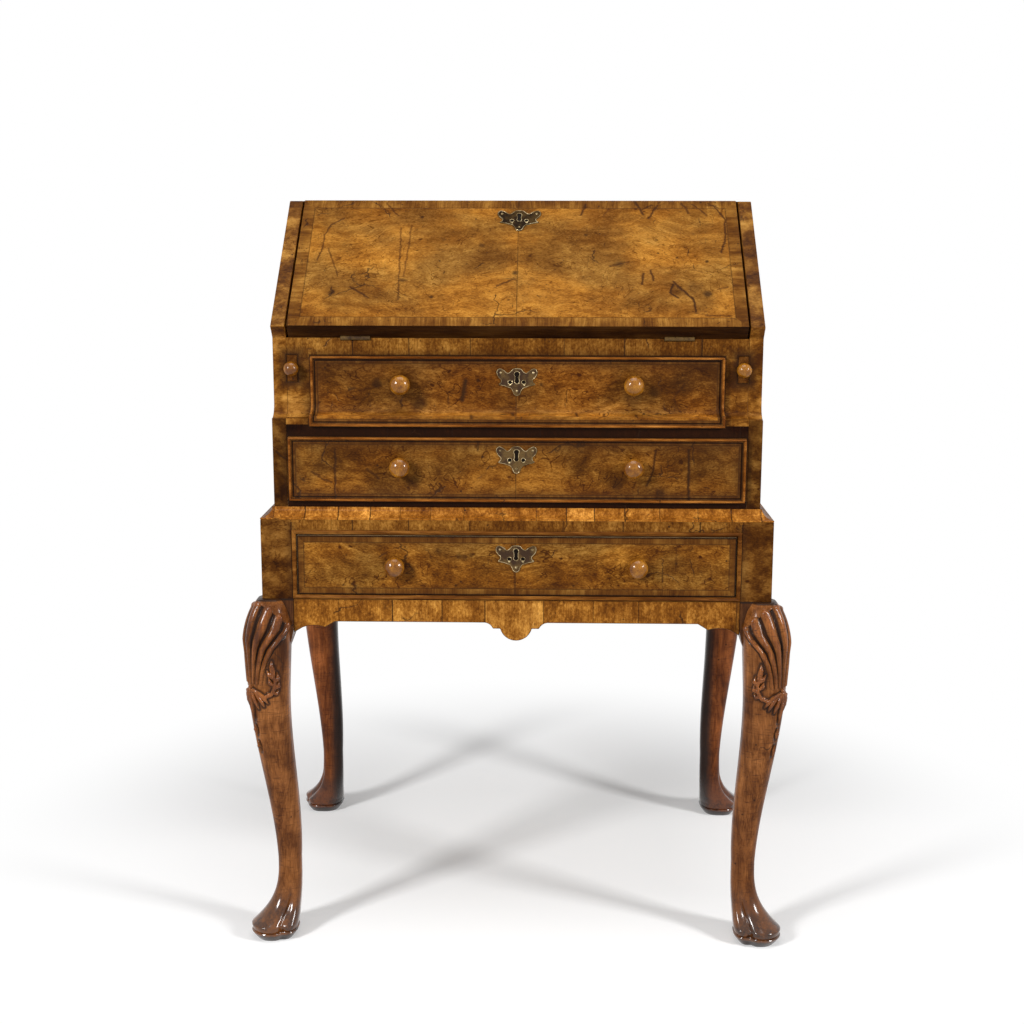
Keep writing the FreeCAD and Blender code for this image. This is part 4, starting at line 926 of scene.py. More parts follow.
# the marks at 160 and -140 mm, of 18 mm radius, are the rings round the knobs: dirt and painted shade
STAND_MARKS = [
    (-74, 13, 6, 0.6), (-66, 12, 7, 0.6), (-58, 14, 5, 0.6), (74, -25, 3, 0.8), (-78, -26, 3, 0.8),
    (206, 5, 3, 0.8), (160, -10, 18, 0.5), (-140, -8, 18, 0.45), (0, 8, 28, 0.3), (-100, 20, 6, 0.5)]
STAND_LINES = [
    (0.8, 0.7, [(-2, -10), (-2, -39)]), (0.7, 0.6, [(206, 30), (206, -4)]),
    (0.7, 0.5, [(235, 12), (250, 4), (252, -12), (240, -22)])]
print("marks", len(UPPER_MARKS + MIDDLE_MARKS + STAND_MARKS))

# %% [markdown]
# The upper front is moulded, so its figure is laid along a direction halfway between up and out.
# Seen that way its foot lies lower than it really does, by as much as the hollow comes forward.

# %% Drawer fronts
STEPPED_UP = (0.0, 1.0, 1.0)
UPPER_FACE = -0.2014
LIP_BAND = 0.0092
FLUSH_BAND = 0.009


def upright_front(drawer, band, *style):
    low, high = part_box(drawer + "_front")
    seat = ((0.0, low.y, (low.z + high.z) / 2), UP, FORWARD)
    name = drawer.replace("_drawer", "_front_burr")
    return front_finish(name, seat, high.x, (high.z - low.z) / 2, band, *style)


def veneer_rule(face_at):
    # the veneered face and the moulded lip are in front, and the oak core is behind
    return lambda normal, centre: 1 if centre.y < face_at and normal.y < 0.5 else 0


low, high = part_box("upper_drawer_front")
upper_foot = low.z + (low.y + 0.002 - UPPER_FACE)
upper_middle = (upper_foot + high.z) / 2
# its last value paints a highlight onto the lower part of the hollow
upper_burr = front_finish(
    "upper_front_burr", ((0.0, UPPER_FACE, upper_middle), STEPPED_UP, FORWARD), high.x,
    high.z - upper_middle, LIP_BAND, "lipped", 0.72, 1.08, 71.0, UPPER_MARKS, UPPER_LINES, 0.45)
middle_burr = upright_front("middle_drawer", LIP_BAND, "lipped", 0.70, 1.04, 73.0,
                            MIDDLE_MARKS, MIDDLE_LINES)
stand_burr = upright_front("stand_drawer", FLUSH_BAND, "flush", 0.95, 0.99, 77.0,
                           STAND_MARKS, STAND_LINES)
# drawer: its veneer, where the oak core starts, and its arris
FRONTS = {"upper_drawer": (upper_burr, -0.1979, 0.0011, 3),
          "middle_drawer": (middle_burr, -0.2165, 0.0011, 3),
          "stand_drawer": (stand_burr, -0.2315, 0.0006, 2)}
for drawer, (veneer, core, *arris) in FRONTS.items():
    dress(drawer + "_front", drawer, "burr_walnut", [oak_along_x, veneer], veneer_rule(core), *arris)
print("upper front", high.z - low.z, "m high")

# %% [markdown]
# The bead on a lip follows the moulded face. Its line is found by dropping points onto the face
# from the front, all the way round, and it is then thickened to a round rod.

# %% Beads on the lips
LIP_STEPS = 30


def lip_line(node, inset):
    form = merged_copy(node)
    surface = BVHTree.FromBMesh(form)
    form.free()
    low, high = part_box(node)
    x = high.x - inset

    def seat(x, z):
        spot = surface.ray_cast(Vector((x, low.y - 0.05, z)), Vector((0, 1, 0)))[0]
        return (x, spot.y, z)

    heights = np.linspace(low.z + inset, high.z - inset, LIP_STEPS)
    widths = np.linspace(-x, x, 9)[1:-1]
    return ([seat(-x, z) for z in heights] + [seat(way, heights[-1]) for way in widths]
            + [seat(x, z) for z in heights[::-1]] + [seat(-way, heights[0]) for way in widths])


def curve_mesh(name, paths, fill, depth, bevel):
    # closed lines, filled to a flat plate or thickened to round rods, as a plain mesh
    data = bpy.data.curves.new(name, "CURVE")
    data.dimensions = "2D" if fill else "3D"
    data.fill_mode = "BOTH" if fill else "FULL"
    data.extrude = depth
    data.bevel_depth = bevel
    data.bevel_resolution = 2
    for path in paths:
        spline = data.splines.new("POLY")
        spline.points.add(len(path) - 1)
        for point, place in zip(spline.points, path):
            point.co = (place[0], place[1], place[2] if len(place) > 2 else 0.0, 1.0)
        spline.use_cyclic_u = True
    obj = add_object(name, data)
    mesh = settled_mesh(obj)
    bpy.data.objects.remove(obj)
    bpy.data.curves.remove(data)
    return mesh


for drawer in ("upper_drawer", "middle_drawer"):
    path = lip_line(drawer + "_front", LIP_BEAD)
    mesh = curve_mesh(drawer + "_lip", [path], False, 0.0, LIP_BEAD - 0.0001)
    mesh.shade_smooth()
    mesh.materials.append(lip_walnut)
    lip = add_object(drawer + "_lip_bead", mesh)
    place_piece(lip, drawer)
    print(lip.name, len(mesh.polygons), "faces")

# %% Drawer boxes
BOX_ARRIS = 0.0004
for drawer in DRAWERS:
    for part, oak in (("_sides", oak_along_y), ("_back", oak_along_x), ("_bottom", oak_along_x)):
        dress(drawer + part, drawer, "drawer_lining", [oak], None, BOX_ARRIS)
    dress(drawer + "_lock", drawer, "lock_iron", [lock_iron], None, 0.0003)
for side in ("left", "right"):
    body = "small_%s_drawer" % side
    small_front = [board_walnut, rail_crossband]
    dress(body + "_front", body, "walnut_veneer", small_front, front_rule, 0.0006)
    dress(body + "_box", body, "drawer_lining", [oak_along_y], None, BOX_ARRIS)
print("drawers dressed", len(DRAWERS) + 2)

# %% [markdown]
# ## The fall
# The fall is one heavy board, hinged at its foot, and it opens onto the two lopers. Outside
# it has the best veneer of the whole piece. Its lower edge, which faces down, is bare wood
# with a nearly black finish. The finish lies in the plane of the slope.

# %% Marks on the fall
FALL_MARKS = [
    (245, -60, 9, 0.8), (228, -48, 16, 0.35), (247, 0, 3.5, 0.8), (0, 83.5, 34, 0.3),
    (-131, 85, 4, 0.8), (-49, 30, 6, 0.6), (-100, 41, 5, 0.5), (-4, -22, 6, 0.8),
    (-240, -58, 6, 0.8), (-111, -67, 4, 0.8), (182, 41, 3, 0.6), (89, 50, 4, 0.7),
    (132, -5, 10, 0.6), (208, 7, 3, 0.7), (0, 90, 30, 0.35), (205, -55, 14, 0.4)]
FALL_LINES = [
    (0.8, 0.75, [(-265, 1), (-260, 24), (-260, 49), (-253, 69), (-235, 83)]),
    (0.8, 0.7, [(-252, 24), (-235, -29)]), (0.8, 0.7, [(-181, 113), (-163, 87)]),
    (0.8, 0.6, [(-190, 111), (-174, 91)]), (0.8, 0.7, [(-158, 63), (-154, -71)]),
    (0.8, 0.65, [(-144, 67), (-149, -28)]), (1.1, 0.8, [(90, 110), (83, 90)]),
    (1.1, 0.8, [(157, 116), (167, 90)]), (1.0, 0.75, [(164, 99), (179, 110)]),
    (1.0, 0.8, [(186, 108), (174, 84)]), (1.0, 0.75, [(219, 114), (228, 94)]),
    (1.0, 0.8, [(163, -22), (161, -42)]), (1.0, 0.8, [(173, -16), (176, -35)]),
    (1.0, 0.85, [(201, -42), (196, -58), (206, -67)]), (1.2, 0.8, [(201, -37), (218, -61)]),
    (1.0, 0.8, [(-218, -49), (-205, -58), (-193, -68)]), (1.0, 0.75, [(-27, -46), (-4, -33)]),
    (1.0, 0.7, [(120, -9), (144, -1)]), (1.0, 0.8, [(262, 109), (276, 82), (274, 44), (267, 17)]),
    (1.0, 0.85, [(206, -44), (225, -70), (228, -92)]), (0.9, 0.7, [(233, 112), (252, 90)]),
    (1.0, 0.7, [(268, 104), (255, 113)]), (0.8, 0.7, [(240, -98.5), (272, -99.5)]),
    (0.9, 0.7, [(258, -52), (271, -47)]), (0.8, 0.6, [(121, 104), (113, 88)])]
print("marks on the fall", len(FALL_MARKS), "and splits", len(FALL_LINES))

# %% Fall
SLOPE = math.radians(42.0)
FALL_LENGTH = 0.237
FALL_THICKNESS = 0.022
FALL_BAND = 0.0155
SLOPE_UP = Vector((0.0, math.cos(SLOPE), math.sin(SLOPE)))
SLOPE_OUT = Vector((0.0, -math.sin(SLOPE), math.cos(SLOPE)))
HINGE_LINE = Vector((0.0, -0.1979, 0.806))
fall_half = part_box("fall_panel")[1].x
fall_centre = HINGE_LINE + SLOPE_UP * (FALL_LENGTH / 2) + SLOPE_OUT * FALL_THICKNESS
fall_burr = front_finish("fall_burr", (fall_centre, SLOPE_UP, SLOPE_OUT), fall_half, FALL_LENGTH / 2,
                         FALL_BAND, "proud", 1.06, 0.98, 79.0, FALL_MARKS, FALL_LINES)


def fall_rule(normal, centre):
    if normal.dot(SLOPE_OUT) > 0.5:
        return 1
    return 2 if normal.dot(SLOPE_UP) < -0.5 else 0


dress("fall_panel", "fall", "burr_walnut", [board_walnut, fall_burr, fall_edge], fall_rule, 0.0008)
dress("fall_lock", "fall", "lock_iron", [lock_iron], None, 0.0003)
HINGES = {"hinge_fall_leaves": "fall", "hinge_case_leaves": "bureau", "hinge_pins": "bureau"}
for name, body in HINGES.items():
    dress(name, body, "brass", [plate_brass], None, 0.0002)
print("fall", fall_half * 2, "m wide")

# %% [markdown]
# ## Turned knobs
# A knob is turned on a lathe: a narrow neck, a full round body and a low crown. The same tree
# serves all of them. A short line is the lathe's axis, a curve gives its radius from the neck to
# the crown, and the form is set on points, one for each knob. The two real inputs are the
# radius and the projection, so that the lopers get smaller ones.

# %% Lathe tree
def lathe_tree(name, profile, rings, sides):
    # profile: (share of the projection, share of the radius) from the face outwards
    tree = bpy.data.node_groups.new(name, "GeometryNodeTree")
    face = tree.interface
    face.new_socket("Geometry", in_out="INPUT", socket_type="NodeSocketGeometry")
    for label in ("Radius", "Projection"):
        face.new_socket(label, in_out="INPUT", socket_type="NodeSocketFloat")
    face.new_socket("Material", in_out="INPUT", socket_type="NodeSocketMaterial")
    face.new_socket("Geometry", in_out="OUTPUT", socket_type="NodeSocketGeometry")
    graph = Graph(tree)
    start = graph.nodes.new("NodeGroupInput")
    inputs = {socket.name: Signal(graph, socket) for socket in start.outputs if socket.name}
    tip = graph.node("ShaderNodeCombineXYZ", {}, {1: 0.0 - inputs["Projection"]})
    axis = graph.node("GeometryNodeCurvePrimitiveLine", {}, {"End": tip})
    axis = graph.node("GeometryNodeResampleCurve", {}, {"Curve": axis, "Count": rings})
    along = graph.node("GeometryNodeSplineParameter", {}, {})
    eased = graph.maths("POWER", along, 0.75)
    spot = graph.node("ShaderNodeVectorMath", {"operation": "SCALE"}, {0: tip, 3: eased})
    axis = graph.node("GeometryNodeSetPosition", {}, {"Geometry": axis, "Position": spot})
    shape = graph.nodes.new("ShaderNodeFloatCurve")
    points = shape.mapping.curves[0].points
    while len(points) < len(profile):
        points.new(0.5, 0.5)
    for point, place in zip(points, profile):
        point.location = place
    shape.mapping.update()
    graph.fill(shape, {"Value": eased})
    radius = Signal(graph, shape.outputs[0]) * inputs["Radius"]
    circle = graph.node("GeometryNodeCurvePrimitiveCircle", {}, {"Resolution": sides, "Radius": 1.0})
    turned = graph.node("GeometryNodeCurveToMesh", {}, {
        "Curve": axis, "Profile Curve": circle, "Scale": radius, "Fill Caps": True})
    turned = graph.node("GeometryNodeSetShadeSmooth", {}, {"Geometry": turned})
    placed = graph.node("GeometryNodeInstanceOnPoints", {}, {
        "Points": inputs["Geometry"], "Instance": turned})
    solid = graph.node("GeometryNodeRealizeInstances", {}, {"Geometry": placed})
    finished = {"Geometry": solid, "Material": inputs["Material"]}
    solid = graph.node("GeometryNodeSetMaterial", {}, finished)
    end = graph.nodes.new("NodeGroupOutput")
    graph.fill(end, {"Geometry": solid})
    return tree


def turned_pieces(name, tree, places, values, body, replaced=(), turn=None):
    # one plain mesh for each body, with the turned form standing on every place
    seats = bpy.data.meshes.new(name)
    seats.from_pydata(places, [], [])
    obj = add_object(name, seats)
    lathe = obj.modifiers.new("lathe", "NODES")
    lathe.node_group = tree
    for item in tree.interface.items_tree:
        if item.in_out == "INPUT" and item.name in values:
            lathe[item.identifier] = values[item.name]
    mesh = settled_mesh(obj)
    obj.modifiers.clear()
    if turn:
        mesh.transform(turn)
    obj.data = mesh
    place_piece(obj, body, replaced)
    print(name, len(mesh.polygons), "faces", [round(n, 4) for n in obj.dimensions])


# %% Knobs
KNOB_PROFILE = [(0.0, 0.47), (0.14, 0.44), (0.3, 0.72), (0.48, 0.97), (0.6, 1.0), (0.74, 0.94),
                (0.87, 0.72), (0.95, 0.46), (0.99, 0.2), (1.0, 0.0)]
KNOB_PROJECTION = 0.022
KNOB_FULLNESS = 1.06
knob_tree = lathe_tree("turned_knob", KNOB_PROFILE, 28, 40)
for drawer in DRAWERS:
    low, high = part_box(drawer + "_knobs")
    radius = (high.z - low.z) / 2
    places = [(x, low.y + KNOB_PROJECTION, low.z + radius) for x in (high.x - radius, radius - high.x)]
    values = {"Radius": radius * KNOB_FULLNESS, "Projection": KNOB_PROJECTION, "Material": knob_wood}
    turned_pieces(drawer + "_turned_knobs", knob_tree, places, values,
                  drawer, [drawer + "_knobs"])

# %% [markdown]
# ## Lopers
# The lopers are the two square bars that slide out to carry the open fall. Each has its own
# small knob. In the frame the knob and the bar are one solid, so the bar is built here
# again as a bevelled block, and the turned knob is added to it as a second piece.

# %% Lopers
LOPER_KNOB = 0.018
LOPER_BAR_HALF = 0.00625
LOPER_ARRIS = 0.0006


def eased_block(name, low, high, finish, arris):
    form = bmesh.new()
    bmesh.ops.create_cube(form, size=1.0)
    for vertex in form.verts:
        for axis in range(3):
            vertex.co[axis] = high[axis] if vertex.co[axis] > 0 else low[axis]
    bmesh.ops.bevel(form, geom=form.edges[:], offset=arris, segments=2, affect="EDGES", profile=0.5)
    return add_object(name, mesh_from(form, name, [finish]))


for side in ("left", "right"):
    body = side + "_loper"
    low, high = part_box(body)
    middle = (low + high) / 2
    face = low.y + LOPER_KNOB
    block = eased_block(body + "_bar", (middle.x - LOPER_BAR_HALF, face, low.z),
                        (middle.x + LOPER_BAR_HALF, high.y, high.z), loper_wood, LOPER_ARRIS)
    place_piece(block, body, [body])
    values = {"Radius": (high.x - low.x) / 2, "Projection": LOPER_KNOB, "Material": knob_wood}
    turned_pieces(body + "_knob", knob_tree, [(middle.x, face, middle.z)], values, body)

# %% [markdown]
# ## Cabriole legs
# A cabriole leg bends twice: out at the knee and in at the ankle, and it ends in a pad foot
# with three soft lobes. It is sawn from one thick post and then shaped with a spokeshave, so its
# section is a square with very round corners that swells and shrinks on its way down. The
# surface here is one grid: its rows are sections at a height and its columns run from the outer
# corner round to the inner one. Both follow the same rule as the frame's own legs.

# %% Leg sections
KNEE_TOP, KNEE, ANKLE, TOE, PAD = 0.470, 0.418, 0.105, 0.021, 0.0115
KNEE_WIDTH, ANKLE_WIDTH, FOOT_WIDTH = 0.0605, 0.031, 0.0615
KNEE_INSET, ANKLE_INSET, FOOT_INSET = 0.0049, 0.0231, 0.0045
CORNER_SHARE = 0.42
STAND_HALF_WIDTH, STAND_HALF_DEPTH = 0.330, 0.2325


def soft_step(value, low, high):
    share = np.clip((value - low) / (high - low), 0, 1)
    return share * share * (3 - 2 * share)


def leg_profile(height):
    # how far the section's middle lies inside the stand's corner, and how wide it is
    up = np.clip((height - KNEE) / (KNEE_TOP - KNEE), 0, 1)
    down = np.clip((KNEE - height) / (KNEE - ANKLE), 0, 1)
    shift = soft_step(down, 0.2, 1.0)
    flare = np.clip((ANKLE - height) / (ANKLE - TOE), 0, 1) ** 3.2
    inset = KNEE_INSET * (1 + 0.86 * up) + (ANKLE_INSET - KNEE_INSET) * shift
    inset = inset + (FOOT_INSET - ANKLE_INSET) * flare
    width = KNEE_WIDTH * np.sqrt(1 - (0.85 * up) ** 2) + (ANKLE_WIDTH - KNEE_WIDTH) * down
    width = width + (FOOT_WIDTH - ANKLE_WIDTH) * flare
    width = width - 0.0038 * np.clip((TOE - height) / (TOE - PAD), 0, 1) ** 2
    undercut = np.clip((PAD - height) / PAD, 0, 1)
    return inset, width + 0.0046 * (height < PAD) - 0.015 * undercut ** 1.3


def round_square(around, width):
    # points of a square with round corners, by their distance from the outer corner's middle
    radius = CORNER_SHARE * width
    flat = width / 2 - radius
    quarter = flat * 2 + radius * math.pi / 2
    length = around * quarter * 2
    side = np.floor(length / quarter + 0.5)
    local = length - side * quarter
    bend = np.clip(local / radius, -math.pi / 4, math.pi / 4)
    straight = local - bend * radius
    turn = math.pi / 4 + side * math.pi / 2
    angle = turn + bend
    onward = turn + np.sign(straight) * math.pi / 4
    x = radius * np.cos(angle) + flat * np.sign(np.cos(turn)) - np.sin(onward) * straight
    y = radius * np.sin(angle) + flat * np.sign(np.sin(turn)) + np.cos(onward) * straight
    return x, y, np.cos(angle), np.sin(angle), length


# %% [markdown]
# ## The carved knee
# A scallop shell is carved over the outer corner of each front knee. Seven ribs fan up from a
# narrow foot to a scalloped rim, with hollows between them, and under the shell hang a bead, two
# scrolled leaves and a drop of husks. Carving is only a change of height over a plain
# surface, so each cut here is a height as a function of two lengths: round the leg from its
# corner, and up it. The same heights are kept as a number on each vertex, because dirt and
# wax gather in the low places, the finish paints shade into them and a highlight onto the
# raised ones, and so it needs to know them.

# %% Shell and leaves as heights
SHELL_FOOT = 0.360
SHELL_WIDTH = ([0.355, 0.360, 0.377, 0.392, 0.4085, 0.422, 0.433, 0.450, 0.470],
               [0.018, 0.0187, 0.0227, 0.0285, 0.0385, 0.054, 0.065, 0.070, 0.073])
SHELL_RIM = ([0.0, 1.0, 2.0, 3.0, 3.6], [0.4705, 0.4630, 0.4515, 0.4400, 0.4320])
HALF_RIBS = 3.5
GROUND_REACH = 4.2
BEAD_HEIGHT, BEAD_RADIUS = 0.3565, 0.003
CURL_PLACE, CURL_RADIUS = (0.0268, 0.3463), 0.0033
# strokes of the gouge in millimetres: the points (round the leg, up it) and the half widths there
LEAVES = [
    ([(0, 352), (0, 338), (0, 326), (0, 311)], [2.6, 3.2, 2.6, 0.6]),
    ([(3.5, 353), (13.3, 348), (20.3, 342.7), (26.2, 345.8)], [1.4, 2.2, 2.1, 2.2]),
    ([(29, 346.5), (34.5, 355.6), (35.2, 364), (33.8, 374)], [2.0, 2.2, 2.1, 1.4]),
    ([(33.8, 373), (33, 380), (32.2, 385.5), (33, 392.5)], [2.4, 3.5, 2.8, 0.5]),
    ([(33, 369), (29.2, 373.5), (26.2, 379)], [1.8, 2.9, 0.7]),
    ([(35, 364), (39.2, 369), (38.8, 376.5)], [1.6, 3.0, 0.7]),
    ([(33.5, 359), (29, 363), (27.8, 369)], [1.6, 2.7, 0.7]),
    ([(34.5, 355), (39.2, 358), (40.2, 364)], [1.6, 2.7, 0.7]),
    ([(30.5, 349), (35.5, 348), (39.2, 352)], [1.4, 2.4, 0.7]),
    ([(3.8, 351.5), (5.5, 344), (8, 336), (10, 326.5)], [1.6, 2.7, 2.6, 0.6]),
    ([(7.8, 349.6), (12.5, 343), (16, 337), (17.5, 330)], [1.4, 2.5, 2.4, 0.6]),
    ([(15, 345.5), (20, 340), (23.2, 334.5)], [1.2, 2.3, 0.6]),
    ([(0, 302), (0, 296), (0, 289)], [0.8, 2.6, 0.7]),
    ([(0, 279), (0, 272), (0, 264)], [0.6, 2.3, 0.6]),
]


def shell_height(side, height):
    wide = np.interp(height, *SHELL_WIDTH)
    rib = np.abs(side) / wide * HALF_RIBS
    wave = 0.5 + 0.5 * np.cos(rib * 2 * math.pi)
    rim = np.interp(rib, *SHELL_RIM) - 0.0045 * (1 - wave) ** 1.2
    relief = np.minimum(0.0056, wide / HALF_RIBS * 0.46) * (wave ** 0.42 - 0.8)
    inside = (1 - soft_step(rib, 3.38, 3.62))
    inside = inside * soft_step(height, SHELL_FOOT - 0.0006, SHELL_FOOT + 0.0006)
    inside = inside * (1 - soft_step(height, rim - 0.0008, rim + 0.0008))
    lip = 0.0014 * np.exp(-((height - rim + 0.0024) / 0.0022) ** 2) * wave
    return (relief + lip + 0.0009) * inside


def stroke_height(side, height, points, widths):
    # a rounded ridge along a line, as one sweep of the gouge leaves it
    points, widths = np.array(points) * MM, np.array(widths) * MM
    best = np.zeros_like(height)
    for start, end, wide_start, wide_end in zip(points, points[1:], widths, widths[1:]):
        way = end - start
        share = ((side - start[0]) * way[0] + (height - start[1]) * way[1]) / (way @ way)
        share = np.clip(share, 0, 1)
        gap = np.hypot(side - start[0] - share * way[0], height - start[1] - share * way[1])
        wide = wide_start + (wide_end - wide_start) * share
        vein = 1 - 0.42 * np.exp(-(gap / wide / 0.26) ** 2)
        round_over = np.sqrt(np.clip(1 - (gap / wide) ** 2, 0, 1)) * vein
        best = np.maximum(best, round_over * np.minimum(wide * 1.5, 0.0042))
    return best


def ball_height(side, height, middle, radius):
    far = np.hypot(side - middle[0], height - middle[1])
    return np.sqrt(np.clip(radius ** 2 - far ** 2, 0, None))


def shaped_relief(side, height):
    # the shell may dip below the surface, and the leaves only stand on it
    shell = shell_height(side, height)
    side = np.abs(side)
    leaves = np.zeros_like(height)
    ground = np.zeros_like(height)
    for points, widths in LEAVES:
        leaves = np.maximum(leaves, stroke_height(side, height, points, widths))
        wider = [width + GROUND_REACH for width in widths]
        ground = np.maximum(ground, stroke_height(side, height, points, wider) / (GROUND_REACH * MM))
    leaves = np.maximum(leaves, ball_height(side, height, (0.0, BEAD_HEIGHT), BEAD_RADIUS))
    leaves = np.maximum(leaves, ball_height(side, height, CURL_PLACE, CURL_RADIUS) * 0.8)
    plain = (np.abs(shell) < 0.0002) & (leaves <= 0.0003)
    return np.where(leaves > 0, leaves, shell), np.where(plain, ground, 0.0)


def foot_relief(around, height):
    # three soft lobes: the surface sinks between them
    turn = np.abs(around) * 180
    flute = np.exp(-((turn - 70) / 15) ** 2)
    tall = 1 - soft_step(height, 0.03, 0.085)
    swell = np.exp(-((height - 0.024) / 0.012) ** 2) * (1 - flute)
    return 0.0006 * swell - (0.0045 + 0.0030 * (height > PAD)) * flute * tall


# %% [markdown]
# Rows of the grid lie close together where the form is fine, on the carving and round the pad,
# and far apart on the plain shaft. The columns crowd towards the outer corner, where the shell is.

# %% Leg mesh
CARVED_ROWS = ((0.4698, 0.398, -0.001), (0.398, 0.318, -0.0007), (0.318, 0.255, -0.0011))
PLAIN_ROWS = ((0.4698, 0.255, -0.004),)
SHAFT_ROWS = ((0.255, 0.105, -0.004), (0.105, 0.0245, -0.0018), (0.0240, 0.0125, -0.0011))
PAD_ROWS = [0.0122, 0.0118, 0.0116, 0.01145, 0.0112, 0.0105, 0.009, 0.0065, 0.0035, 0.001, 0.0]
POST_LEVELS = [(0.575, 0.040), (0.4705, 0.040), (0.430, 0.040), (0.418, 0.0375),
               (0.404, 0.0325), (0.388, 0.0264)]


def leg_mesh(name, carved, columns):
    rows = (CARVED_ROWS if carved else PLAIN_ROWS) + SHAFT_ROWS
    heights = np.concatenate([np.arange(*row) for row in rows] + [PAD_ROWS])
    share = np.linspace(-1, 1, columns, endpoint=False)
    around = np.sign(share) * np.abs(share) ** (1.35 if carved else 1.0)
    height, around = np.meshgrid(heights, around, indexing="ij")
    inset, width = leg_profile(height)
    x, y, out_x, out_y, side = round_square(around, width)
    carved_height, ground = shaped_relief(side, height) if carved else np.zeros((2, *height.shape))
    relief = foot_relief(around, height) + carved_height - 0.0012 * ground
    points = np.stack([x - inset + out_x * relief, y - inset + out_y * relief, height], axis=-1)
    index = np.arange(height.size).reshape(height.shape)
    following = np.roll(index, -1, axis=1)
    faces = np.stack([index[:-1], index[1:], following[1:], following[:-1]], axis=-1).reshape(-1, 4)
    mesh = bpy.data.meshes.new(name)
    caps = [index[0].tolist(), index[-1].tolist()[::-1]]
    mesh.from_pydata(points.reshape(-1, 3).tolist(), [], faces.tolist() + caps)
    low = mesh.attributes.new("hollow", "FLOAT", "POINT")
    depth = np.clip((0.0004 - carved_height) / 0.0028, -1, 1) * (carved_height != 0)
    # the ground round the leaves is marked low too, so the finish darkens it for dirt and as painted
    # shade
    depth = depth + ground ** 1.6 * 0.62
    low.data.foreach_set("value", depth.ravel().astype(np.float32))
    mesh.shade_smooth()
    return mesh


def leg_post(form):
    # the square post above the knee, which tapers into the leg on its two inner sides
    rings = []
    for height, reach in POST_LEVELS:
        corners = [(-reach, -reach), (0, -reach), (0, 0), (-reach, 0)]
        rings.append([form.verts.new((x, y, height)) for x, y in corners])
    for upper, lower in zip(rings, rings[1:]):
        for corner in range(4):
            following = (corner + 1) % 4
            form.faces.new((upper[corner], lower[corner], lower[following], upper[following]))
    form.faces.new(rings[0])
    form.faces.new(rings[-1][::-1])
    square = rings[0] + rings[1] + rings[2]
    return [edge for edge in form.edges if all(vertex in square for vertex in edge.verts)
            and not all(vertex in rings[1] for vertex in edge.verts)]


# %% [markdown]
# The legs are solid walnut, redder than the veneers, with the grain running down them. The
# finish reads the height of the carving: raised ribs are made paler, as rubbed wood and as a
# painted highlight, and hollows darker, for their dirt and as painted shade. The undercut of
# each pad and the inner halves of the back legs are painted dark as shade.
# The feet are stained and polished. The post above the knee is veneered with burr, and the part
# of it that stands behind the knee is solid and darker.

# %% Leg finish
RED_WALNUT = [(0.0, (0.066, 0.019, 0.0035)), (0.4, (0.152, 0.049, 0.010)),
              (0.6, (0.218, 0.076, 0.018)), (1.0, (0.352, 0.132, 0.036))]


def leg_finish(name, shift, back, tone=1.0):
    material, graph = new_finish(name)
    grain = grained(graph, "Z")
    figure, pores = straight_figure(graph, grain, shift)
    colour = stained_wood(graph, figure, 0.39, 0.62, toned(RED_WALNUT, tone))
    colour = graph.mix(pores * 0.4, colour, (0.045, 0.017, 0.009))
    low = graph.node("ShaderNodeAttribute", {"attribute_name": "hollow"}, {}, "Fac")
    # hollows are darkened for the dirt and wax in them and as painted shade
    colour = graph.mix(graph.smooth(low, 0.05, 0.6) * 0.93, colour, (0.020, 0.010, 0.007))
    # raised ribs are made paler, as rubbed wood and as a painted highlight
    rubbed_and_highlit = graph.near(low, -0.6, -0.1)
    colour = graph.mix(rubbed_and_highlit * 0.55, colour, graph.tint(colour, (1.25, 1.0, 0.6)))

    across, heights = graph.parts(graph.object_place())[::2]
    foot = graph.near(heights, 0.02, 0.085)
    mottle = graph.patches(grain, (300.0, 300.0, 260.0), 4.0, 0.75, shift + 2.0, 0.36, 0.64)
    patches = graph.patches(grain, (38.0, 38.0, 30.0), 4.0, 0.62, shift + 3.0, 0.40, 0.62)
    stain = graph.mix(mottle * 0.35 + patches * 0.65, (0.19, 0.060, 0.007), (0.020, 0.007, 0.003))
    colour = graph.mix(foot * 0.92, colour, stain)
    # painted shade on the undercut at the foot of each pad
    pad_undercut_shade = graph.near(heights, 0.0070, 0.0108)
    colour = graph.mix(pad_undercut_shade * 0.85, colour, (0.014, 0.009, 0.007))
    scratches = graph.patches(grain, (700.0, 60.0, 60.0), 3.0, 0.6, shift + 4.0, 0.56, 0.68)
    colour = graph.mix(scratches * (1.0 - foot) * 0.6, colour, (0.04, 0.013, 0.006))
    if back:
        colour = graph.mix(0.8, colour, graph.tint(colour, (1.0, 0.76, 0.66)))
        # painted shade on the inner halves of the back legs
        inner_half_shade = graph.near(abs(across), 0.298, 0.313, 0.9)
        colour = graph.mix(inner_half_shade, colour, (0.022, 0.016, 0.014))
    joint = graph.near(abs(heights - KNEE_TOP), 0.0010, 0.0030, 0.9)
    colour = graph.mix(joint, colour, (0.016, 0.008, 0.005))
    colour, marked = aged(graph, colour, grain, shift, 0.56)
    rough = polish(graph, figure, 0.36, 0.24) - foot * 0.1
    height = figure * 0.1 - pores * 0.12 - marked * 0.5
    coat = graph.strongest(foot, rubbed_and_highlit * 0.4) * 0.8 + 0.12
    return varnish(material, graph, colour, rough, height, 0.0005, coat, 0.06)


front_leg_walnut = leg_finish("leg_walnut", 91.0, False)
back_leg_walnut = leg_finish("back_leg_walnut", 95.0, True)
block_walnut = leg_finish("block_walnut", 92.0, False, 0.5)

# %% Legs
POST_ARRIS = 0.0012
CARVED_COLUMNS, PLAIN_COLUMNS = 250, 72
